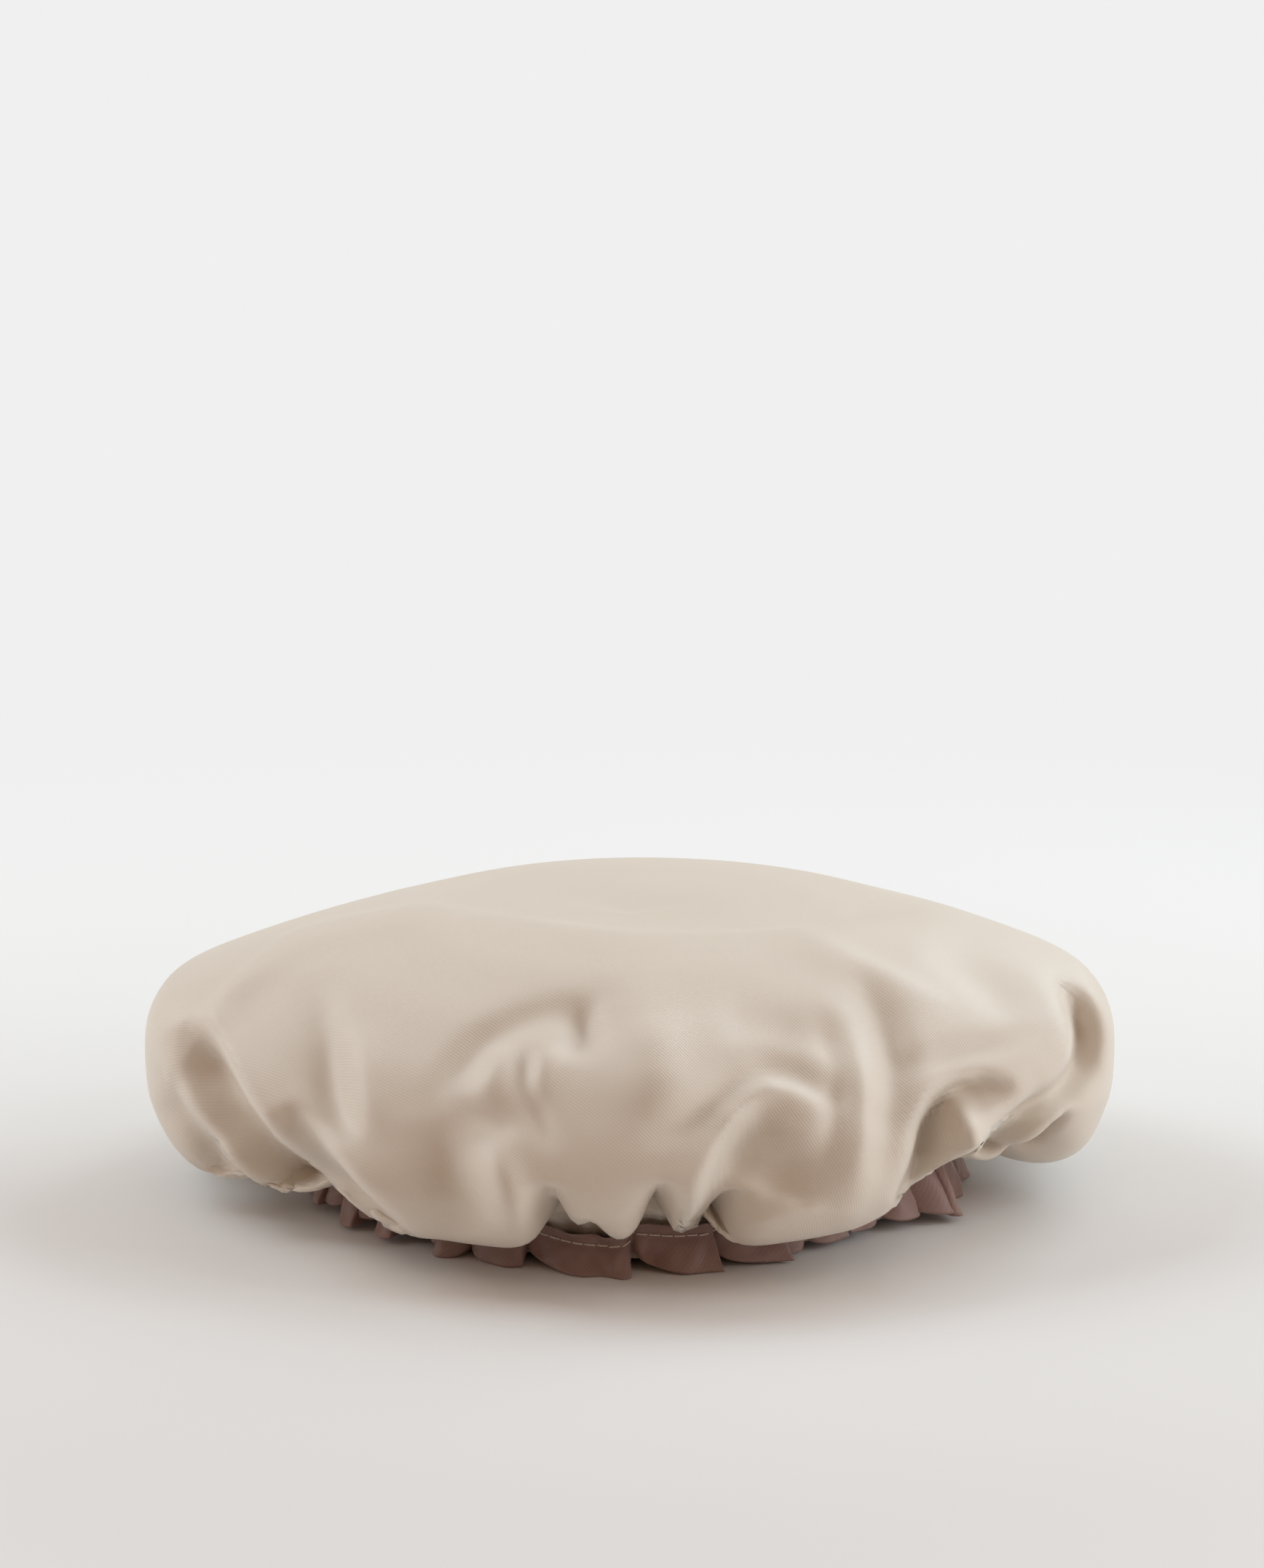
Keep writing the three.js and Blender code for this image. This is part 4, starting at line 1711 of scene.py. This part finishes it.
@dataclass
class EdgeCasing:
    """The strip of satin that is folded round the raw edges and gathered by the elastic.

    Attributes:
        seam: The ring that it follows.
        top: Height of its upper edges.
        stitch_height: Height of the topstitch.
        wall: Thickness of the strip.
        pocket: Half the width of the pocket for the elastic.
        lip: Half the distance between its upper edges.
        inner_flare: The share of a billow that shows on the inside.
        seam_flare: The share of a billow that shows at the seam.
        seam_carry: The share of a billow's overlap that the seam has.
        tuck: The share of a billow's columns that turn back under it.
        tuck_round: How round that turn is, as a power.
        crest: How far along it a billow without overlap stands out most, as a share.
        latest_crest: The same for a billow with much overlap.
        crest_shift: How much of that share a metre of overlap adds.
        crest_round: How round a billow is, as a power.
        dip: The share of a billow that is lost past its crest.
        dip_reach: The share of its length over which that happens.
        carry_from: The share of a billow's length from which its overlap is carried over.
        unevenness: How far the fullness of the billows varies.
        edge_round: How soon the lower edge lifts where a billow is tucked in, as a power.
        frill: The share of a billow that the upper edge has besides the seam's.
        fall: How soon the strip falls from the seam, as a power.
        belly: How soon it swells out, as a power.
        pucker: The share of the ruffles that shows below the seam.
        row_steps: Rows of the strip over the seam, below it, along its fold and up its inner side.
        inner_clear: How far the inner line of stitches lies off the strip.
        turns: Columns round the ring.
        azimuth: Azimuth of each column in radians.
        shift: How far round each column is carried, in radians.
        out: How far each column stands out.
        low: Height of its lower edge.
        sunk: How far its seam is pulled down.
    """

    seam: SeamPath
    top: float
    stitch_height: float = 10 * MM
    wall: float = 0.35 * MM
    pocket: float = 1.7 * MM
    lip: float = 1.5 * MM
    inner_flare: float = 0.2
    seam_flare: float = 0.35
    seam_carry: float = 0.65
    tuck: float = 0.2
    tuck_round: float = 1.5
    crest: float = 0.45
    latest_crest: float = 0.95
    crest_shift: float = 90.0
    crest_round: float = 0.8
    dip: float = 0.25
    dip_reach: float = 0.4
    carry_from: float = 0.2
    unevenness: float = 0.12
    edge_round: float = 1.5
    frill: float = 0.2
    fall: float = 1.3
    belly: float = 0.7
    pucker: float = 0.6
    row_steps: tuple[int, int, int, int] = (5, 10, 7, 9)
    inner_clear: float = 0.05 * MM
    turns: int = 1500
    azimuth: np.ndarray = field(init=False)
    shift: np.ndarray = field(init=False)
    out: np.ndarray = field(init=False)
    low: np.ndarray = field(init=False)
    sunk: np.ndarray = field(init=False)

    def __post_init__(self) -> None:
        """Works out the billow at every column."""
        self.azimuth = np.linspace(0, 2 * math.pi, self.turns, endpoint=False)
        billows = billows_round()
        starts = np.array([b.azimuth for b in billows])
        degrees = (np.degrees(self.azimuth) - starts[0]) % 360 + starts[0]
        index = np.searchsorted(starts, degrees, side="right") - 1
        ends = np.r_[starts[1:], starts[0] + 360]
        share = (degrees - starts[index]) / (ends[index] - starts[index])
        sizes = np.array([(b.flare, b.overlap, b.lift, b.hang, b.drop) for b in billows])
        flare, overlap, lift, hang, drop = sizes[index].T * MM
        share = np.where(overlap < 0, 1 - share, share)
        front = np.clip(share / (1 - self.tuck), 0, 1)
        back = np.clip((share - 1 + self.tuck) / self.tuck, 0, 1)
        crest = np.minimum(self.crest + self.crest_shift * np.abs(overlap), self.latest_crest)
        swell = np.sin(0.5 * np.pi * np.clip(front / crest, 0, 1)) ** self.crest_round
        swell = swell * (1 - self.dip * smoothstep(front - crest, 0, self.dip_reach))
        swell = swell * np.cos(0.5 * np.pi * back) ** self.tuck_round
        drift = smoothstep(front, self.carry_from, 1.0) * (1 - smoothstep(back, 0.0, 1.0))
        self.shift = overlap * drift / self.seam.radius
        self.out = flare * swell * (1 + self.unevenness * FULLNESS.at(self.azimuth))
        self.low = self.wall / 2 + hang + (lift - hang) * (1 - swell) ** self.edge_round
        self.sunk = drop * swell

    def section(self) -> np.ndarray:
        """The middle surface of the strip, from its outer upper edge round the fold to the inner one.

        Returns:
            Rows of points: one row for each column, one point for each step down the strip.
        """
        ring = self.seam.at(self.azimuth)
        seam_height = self.stitch_height - self.sunk
        seam_out = self.lip + self.seam_flare * self.out
        upper, lower, folded, inner = self.row_steps
        rows = []
        for share in np.linspace(0, 1, upper, endpoint=False):
            height = self.top + (self.stitch_height - self.top) * share - self.sunk
            flared = (self.frill * self.out + self._ruffle(share)) * (1 - share) ** 2
            rows.append((ring + seam_out + flared, height, self.seam_carry))
        for share in np.linspace(0, 1, lower):
            height = seam_height + (self.low - seam_height) * (1 - (1 - share) ** self.fall)
            belly = self.seam_flare + (1 - self.seam_flare) * share**self.belly
            pucker = self.pucker * self._ruffle(share) * math.sin(math.pi * share)
            edge = self.pocket * share + self.lip * (1 - share)
            carried = self.seam_carry + (1 - self.seam_carry) * share
            rows.append((ring + edge + self.out * belly + pucker, height, carried))
        inner_foot = self.pocket + self.inner_flare * self.out
        for share in np.linspace(0, 1, folded)[1:-1]:
            radius = ring + (self.pocket + self.out) * (1 - share) - inner_foot * share
            rows.append((radius, self.low, 1 - share))
        for share in np.linspace(0, 1, inner):
            height = self.low + (self.top - self.low) * share
            rows.append((ring - inner_foot * (1 - share) - self.lip * share, height, 0.0))
        return np.stack([polar(*place, self.azimuth + self.shift * carried) for *place, carried in rows], 1)

    def flat_size(self) -> tuple[float, float]:
        """The strip's width and length when it is opened out and laid flat, measured along its own surface.

        Returns:
            The width and the length.
        """
        rows = self.section()
        width = np.linalg.norm(np.diff(rows, axis=1), axis=2).sum(1).mean()
        length = np.linalg.norm(rows - np.roll(rows, 1, axis=0), axis=2).sum(0).mean()
        return float(width), float(length)

    def _ruffle(self, share: float) -> np.ndarray:
        """How far each column stands out with the strip's small wrinkles, a share of the way down."""
        return sum(depth * wave.at(self.azimuth, share) for depth, wave in RUFFLES)

    def stitch_line(self, side: Side, clear: float) -> np.ndarray:
        """Points of the line of stitches on one side of the casing.

        Args:
            side: The side.
            clear: How far the thread's middle lies off the middle of the strip.

        Returns:
            One row for each column.
        """
        ring = self.seam.at(self.azimuth)
        if side is Side.INNER:
            level = np.full(self.turns, self.stitch_height)
            return polar(ring - self.lip - self.inner_clear - clear, level, self.azimuth)
        radius = ring + self.lip + self.seam_flare * self.out + clear
        return polar(radius, self.stitch_height - self.sunk, self.azimuth + self.seam_carry * self.shift)

    def build(self) -> bpy.types.Object:
        """Makes the casing's piece.

        Returns:
            The piece.
        """
        rows = self.section()
        columns, steps, _ = rows.shape
        number = np.arange(columns * steps).reshape(columns, steps)
        ahead = np.roll(number, -1, axis=0)
        faces = np.stack([number[:, :-1], number[:, 1:], ahead[:, 1:], ahead[:, :-1]], -1).reshape(-1, 4)
        depth = np.r_[0, np.cumsum(np.linalg.norm(np.diff(rows, axis=1), axis=2).mean(0))]
        length = np.cumsum(np.linalg.norm(rows - np.roll(rows, 1, axis=0), axis=2).mean(1))
        length_ahead = np.r_[length[1:], length[-1] + length[0]]
        corner = np.zeros((columns, steps - 1, 4, 2))
        corner[..., 0] = np.stack([depth[:-1], depth[1:], depth[1:], depth[:-1]], -1)
        corner[..., 1] = np.stack([length, length, length_ahead, length_ahead], -1)[:, None, :]
        made = mesh_object("satin_casing", rows.reshape(-1, 3), faces.tolist(), corner.reshape(-1, 2))
        thicken(made, "strip_thickness", self.wall, 0)
        attach(made, Piece.CASING, TRIM.make())
        return made


@dataclass
class ElasticBand:
    """The ribbed elastic in the casing, wound so that its two ends lie on each other.

    Attributes:
        seam: The ring that it follows.
        bottom: Height of its lower edge.
        width: Its width.
        thickness: Its thickness.
        overlap: Length of the two ends that lie on each other.
        ply_gap: The air between those ends.
        ribs: Lengthwise ribs on each face.
        rib_depth: Their depth.
        rib_steps: Points across a rib.
        steps: Sections along it.
    """

    seam: SeamPath
    bottom: float
    width: float
    thickness: float = 0.8 * MM
    overlap: float = 16 * MM
    ply_gap: float = 0.4 * MM
    ribs: int = 6
    rib_depth: float = 0.12 * MM
    rib_steps: int = 4
    steps: int = 260

    def outline(self) -> np.ndarray:
        """The ribbed section of the strip.

        Returns:
            Offsets outwards and heights over the lower edge, anticlockwise.
        """
        share = np.linspace(0, 1, self.ribs * self.rib_steps + 1)
        ripple = self.rib_depth * (1 - np.abs(np.sin(np.pi * self.ribs * share)))
        half = self.thickness / 2 - ripple
        outer = np.stack([half, share * self.width], 1)
        inner = np.stack([-half, share * self.width], 1)[::-1]
        return np.vstack([outer, inner])

    def build(self) -> bpy.types.Object:
        """Makes the elastic's piece.

        Returns:
            The piece.
        """
        turn_end = 2 * math.pi + self.overlap / self.seam.radius
        turn = np.linspace(0, turn_end, self.steps)
        azimuth = math.pi + turn
        ply = (self.thickness + self.ply_gap) * (turn / turn_end - 0.5)
        outline = self.outline()
        radius = self.seam.at(azimuth)[:, None] + ply[:, None] + outline[None, :, 0]
        height = self.bottom + np.broadcast_to(outline[None, :, 1], radius.shape)
        points = polar(radius, height, np.broadcast_to(azimuth[:, None], radius.shape))
        count = len(outline)
        number = np.arange(self.steps * count).reshape(self.steps, count)
        around = np.roll(number, -1, axis=1)
        walls = np.stack([number[:-1], number[1:], around[1:], around[:-1]], -1).reshape(-1, 4)
        faces = [tuple(face) for face in walls.tolist()]
        faces.append(tuple(number[0].tolist()))
        faces.append(tuple(number[-1][::-1].tolist()))
        along = np.broadcast_to((turn * self.seam.radius)[:, None], radius.shape)
        flat = np.stack([height - self.bottom, along], -1)
        order = np.array([corner for face in faces for corner in face])
        made = mesh_object("ribbed_elastic", points.reshape(-1, 3), faces, flat.reshape(-1, 2)[order])
        attach(made, Piece.ELASTIC, KNIT.make())
        return made


class StitchTree(NodeDesk):
    """A Geometry Nodes tree that sews a row of stitches along a line of edges."""

    ARCH_STEPS = 6
    THREAD_SIDES = 6

    def __init__(self) -> None:
        """Builds the tree."""
        super().__init__(bpy.data.node_groups.new("row_of_stitches", "GeometryNodeTree"))
        panel = self.tree.interface
        panel.new_socket("Geometry", in_out="INPUT", socket_type="NodeSocketGeometry")
        self.inputs = {
            name: panel.new_socket(name, in_out="INPUT", socket_type=kind).identifier
            for name, kind in (
                ("Pitch", "NodeSocketFloat"),
                ("Stitch Length", "NodeSocketFloat"),
                ("Thread Radius", "NodeSocketFloat"),
                ("Arch", "NodeSocketFloat"),
                ("Thread", "NodeSocketMaterial"),
            )
        }
        panel.new_socket("Geometry", in_out="OUTPUT", socket_type="NodeSocketGeometry")
        self._sew(self._stitch())

    def _given(self, name: str) -> Wire:
        """One of the tree's own inputs, by its name."""
        return self.node("NodeGroupInput", {}, {}, name)

    def _stitch(self) -> Wire:
        """Lays the nodes of one arched stitch.

        Returns:
            The stitch's mesh.
        """
        half = self._given("Stitch Length") * 0.5
        ends = {
            "Start": self.node("ShaderNodeCombineXYZ", {}, {0: half * -1.0}),
            "Middle": self.node("ShaderNodeCombineXYZ", {}, {2: self._given("Arch")}),
            "End": self.node("ShaderNodeCombineXYZ", {}, {0: half}),
        }
        arch = self.node("GeometryNodeCurveQuadraticBezier", {}, {"Resolution": self.ARCH_STEPS, **ends})
        ring = self.node(
            "GeometryNodeCurvePrimitiveCircle",
            {},
            {"Resolution": self.THREAD_SIDES, "Radius": self._given("Thread Radius")},
        )
        return self.node(
            "GeometryNodeCurveToMesh", {}, {"Curve": arch, "Profile Curve": ring, "Fill Caps": True}
        )

    def _sew(self, stitch: Wire) -> None:
        """Lays the nodes that put a stitch at every point of the line, facing away from the cap's axis.

        Args:
            stitch: The stitch's mesh.
        """
        line = self.node("GeometryNodeMeshToCurve", {}, {0: self._given("Geometry")})
        spaced = self.node(
            "GeometryNodeResampleCurve", {"mode": "LENGTH"}, {"Curve": line, "Length": self._given("Pitch")}
        )
        tangent = self.node("GeometryNodeInputTangent")
        along = self.node("FunctionNodeAlignRotationToVector", {"axis": "X"}, {"Vector": tangent})
        place = self.node("GeometryNodeInputPosition")
        level = self.node("ShaderNodeVectorMath", {"operation": "MULTIPLY"}, {0: place, 1: (1.0, 1.0, 0.0)})
        turned = self.node(
            "FunctionNodeAlignRotationToVector",
            {"axis": "Z", "pivot_axis": "X"},
            {"Rotation": along, "Vector": level},
        )
        sewn = self.node(
            "GeometryNodeInstanceOnPoints", {}, {"Points": spaced, "Instance": stitch, "Rotation": turned}
        )
        real = self.node("GeometryNodeRealizeInstances", {}, {0: sewn})
        dressed = self.node(
            "GeometryNodeSetMaterial", {}, {"Geometry": real, "Material": self._given("Thread")}
        )
        smooth = self.node("GeometryNodeSetShadeSmooth", {}, {0: dressed})
        self.node("NodeGroupOutput", {}, {0: smooth})


@dataclass
class SeamThread:
    """A row of lockstitches on one side of the casing.

    Attributes:
        casing: The casing that is sewn.
        side: The side on which this thread shows.
        tree: The tree that sews.
        pitch: The length from one stitch to the next.
        stitch_length: The length of thread that shows.
        radius: Half the thickness of the thread.
        arch: How far a stitch bows off the cloth.
        seat: How far the thread's middle lies over the cloth, as a share of its radius.
    """

    casing: EdgeCasing
    side: Side
    tree: StitchTree
    pitch: float = 3.4 * MM
    stitch_length: float = 2.9 * MM
    radius: float = 0.24 * MM
    arch: float = 0.25 * MM
    seat: float = 0.6

    def build(self, name: str, piece: Piece, finish: bpy.types.Material) -> bpy.types.Object:
        """Makes the thread's piece.

        Args:
            name: The piece's name.
            piece: The node that it stands for.
            finish: The thread's material.

        Returns:
            The piece.
        """
        line = self.casing.stitch_line(self.side, self.casing.wall / 2 + self.radius * self.seat)
        count = len(line)
        guide_mesh = bpy.data.meshes.new("stitch_guide")
        guide_mesh.from_pydata(line.tolist(), [(i, (i + 1) % count) for i in range(count)], [])
        guide = bpy.data.objects.new("stitch_guide", guide_mesh)
        bpy.context.scene.collection.objects.link(guide)
        sewing = guide.modifiers.new("stitches", "NODES")
        sewing.node_group = self.tree.tree
        facing = self.arch * self.side.value
        sizes = (self.pitch, self.stitch_length, self.radius, facing, finish)
        for identifier, size in zip(self.tree.inputs.values(), sizes):
            sewing[identifier] = size
        depsgraph = bpy.context.evaluated_depsgraph_get()
        mesh = bpy.data.meshes.new_from_object(guide.evaluated_get(depsgraph))
        guide.modifiers.remove(sewing)
        bpy.data.objects.remove(guide)
        made = bpy.data.objects.new(name, mesh)
        bpy.context.scene.collection.objects.link(made)
        attach(made, piece, finish)
        return made


# Studio


@dataclass(frozen=True)
class FloorFinish:
    """A pale floor that takes the cap's shadow and runs out into an even background.

    Attributes:
        name: The material's name.
        paint: The floor's colour under the lamps.
        backdrop: The colour that the camera sees far from the cap.
        shadow_reach: Distance from the cap up to which only the lamps light the floor.
        fade_reach: Distance at which the even background is reached.
    """

    name: str = "pale_floor"
    paint: Colour = (0.82, 0.82, 0.82)
    backdrop: float = 0.871
    shadow_reach: float = 0.26
    fade_reach: float = 0.6

    def make(self) -> bpy.types.Material:
        """Builds the material.

        Returns:
            The material.
        """
        desk = ShaderDesk(self.name)
        place = desk.node("ShaderNodeTexCoord", {}, {}, "Object")
        distance = desk.node("ShaderNodeVectorMath", {"operation": "LENGTH"}, {0: place}, "Value")
        fade = desk.node(
            "ShaderNodeMapRange",
            {"interpolation_type": "SMOOTHSTEP"},
            {"Value": distance, "From Min": self.shadow_reach, "From Max": self.fade_reach},
        )
        rays = ("Is Camera Ray", "Is Glossy Ray", "Is Transmission Ray")
        seen = sum(desk.node("ShaderNodeLightPath", {}, {}, ray) for ray in rays).at_most(1.0)
        painted = desk.node("ShaderNodeBsdfDiffuse", {}, {"Color": self.paint})
        even = desk.node("ShaderNodeEmission", {}, {"Color": (self.backdrop,) * 3, "Strength": 1.0})
        return desk.surface(desk.node("ShaderNodeMixShader", {}, {0: fade * seen, 1: painted, 2: even}))


COOL = (0.78, 0.93, 1.0)
WARM = (1.0, 0.58, 0.34)


@dataclass(frozen=True)
class SoftLamp:
    """A large square lamp that looks at the cap.

    Attributes:
        name: The lamp's name.
        azimuth: Where it stands, in degrees from the front towards +X.
        elevation: How high it stands, in degrees.
        power: Its power in watts.
        tint: Its colour.
        distance: How far off it stands.
        size: The length of its side.
    """

    name: str
    azimuth: float
    elevation: float
    power: float
    tint: Colour = (1.0, 1.0, 1.0)
    distance: float = 1.5
    size: float = 0.9

    def place(self) -> None:
        """Makes the lamp."""
        data = bpy.data.lights.new(self.name, "AREA")
        data.size = self.size
        data.energy = self.power
        data.color = self.tint
        lamp = bpy.data.objects.new(self.name, data)
        bpy.context.scene.collection.objects.link(lamp)
        away = Vector(bearing(self.azimuth, self.elevation))
        lamp.location = away * self.distance
        lamp.rotation_euler = away.to_track_quat("Z", "Y").to_euler()


@dataclass(frozen=True)
class Studio:
    """The floor, the lamps, the world and the camera.

    Attributes:
        view: The camera's line of sight.
        frame_width: Width of the picture at that distance.
        foot_column: Image column of the middle of the gathered edge on the floor.
        foot_row: Image row of the same point.
        sensor: Width of the camera's sensor in millimetres.
        floor_size: Side of the floor.
        sky: Strength of the even light from all round.
        lamps: The lamps.
    """

    view: Sightline = Sightline()
    frame_width: float = 0.3595
    foot_column: float = 865
    foot_row: float = 1610
    sensor: float = 36.0
    floor_size: float = 12.0
    sky: float = 0.3
    lamps: tuple[SoftLamp, ...] = (
        SoftLamp("right_lamp", azimuth=90, elevation=35, power=6.5, tint=COOL),
        SoftLamp("right_low_lamp", azimuth=68, elevation=15, power=5.5),
        SoftLamp("right_back_lamp", azimuth=140, elevation=33, power=9, tint=COOL),
        SoftLamp("top_lamp", azimuth=180, elevation=70, power=4, tint=COOL, size=1.5),
        SoftLamp("left_back_lamp", azimuth=-118, elevation=39, power=10.5, tint=COOL),
        SoftLamp("left_low_lamp", azimuth=-85, elevation=18, power=4.5),
    )

    def build(self) -> None:
        """Sets the studio up."""
        self._floor()
        for lamp in self.lamps:
            lamp.place()
        self._world()
        self._camera()
        bpy.context.scene.view_settings.view_transform = "Standard"

    def _floor(self) -> None:
        """Lays the floor."""
        half = self.floor_size / 2
        corners = np.array([(-half, -half, 0), (half, -half, 0), (half, half, 0), (-half, half, 0)])
        floor = mesh_object("studio_floor", corners, [(0, 1, 2, 3)])
        floor.data.materials.append(FloorFinish().make())

    def _world(self) -> None:
        """Lights the cap evenly from all round, with the background's own tone behind it."""
        world = bpy.data.worlds.new("studio_air")
        bpy.context.scene.world = world
        world.use_nodes = True
        air = world.node_tree.nodes["Background"]
        air.inputs["Color"].default_value = (*WARM, 1.0)
        air.inputs["Strength"].default_value = self.sky

    def _camera(self) -> None:
        """Aims the camera so that the foot of the cap falls on its place in the picture."""
        data = bpy.data.cameras.new("photo_camera")
        data.sensor_fit = "HORIZONTAL"
        data.sensor_width = self.sensor
        pixel = self.frame_width / IMAGE_WIDTH
        drop = math.atan((self.foot_row - IMAGE_HEIGHT / 2) * pixel / self.view.distance)
        swing = math.atan((self.foot_column - IMAGE_WIDTH / 2) * pixel / self.view.distance)
        data.lens = self.sensor * self.view.distance * math.cos(drop) / self.frame_width
        camera = bpy.data.objects.new("photo_camera", data)
        bpy.context.scene.collection.objects.link(camera)
        rise = math.radians(self.view.elevation)
        place = Matrix.Translation(Vector(self.view.eye()))
        pitch = Matrix.Rotation(math.pi / 2 - (rise - drop), 4, "X")
        yaw = Matrix.Rotation(swing, 4, "Z")
        camera.matrix_world = place @ yaw @ pitch
        bpy.context.scene.camera = camera


def main() -> None:
    """Builds the cap round its frame, piece by piece, and the studio round the cap."""
    logging.basicConfig(level=logging.INFO, format="%(name)s: %(message)s")
    for spare in list(bpy.data.objects):
        bpy.data.objects.remove(spare)
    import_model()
    Studio().build()

    shell_low, shell_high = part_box(Piece.SHELL.value)
    elastic_low, elastic_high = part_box(Piece.ELASTIC.value)
    _, casing_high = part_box(Piece.CASING.value)
    seam = SeamPath(radius=(elastic_high.x - elastic_low.x) / 2 - SEAM_INSET)
    form = CapForm(
        seam=seam,
        radius=(shell_high.x - shell_low.x) / 2 - SHELL_INSET,
        height=shell_high.z - SHELL_INSET,
        raw_edge=shell_low.z,
        view=Sightline(),
    )
    shell = OuterShell(form)
    casing = EdgeCasing(seam, top=casing_high.z)
    elastic = ElasticBand(seam, bottom=elastic_low.z, width=elastic_high.z - elastic_low.z)
    tree = StitchTree()
    thread = THREAD.make()
    satin = shell.build()
    lining = WaterproofLining(shell)
    film = lining.build()
    strip = casing.build()
    elastic_piece = elastic.build()
    pieces = [
        satin,
        film,
        strip,
        elastic_piece,
        SeamThread(casing, Side.OUTER, tree).build("topstitches", Piece.TOPSTITCH, thread),
        SeamThread(casing, Side.INNER, tree).build("bobbin_stitches", Piece.BOBBIN, thread),
    ]
    casing.flat_size()
    flat = 2 * shell.cut.reach
    film_flat = flat - lining.trim
    disc = math.pi / 4
    disc * flat**2
    film_area = disc * film_flat**2
    for piece in pieces:
        log.info("%s: %d vertices", piece.name, len(piece.data.vertices))


if __name__ == "__main__":
    main()
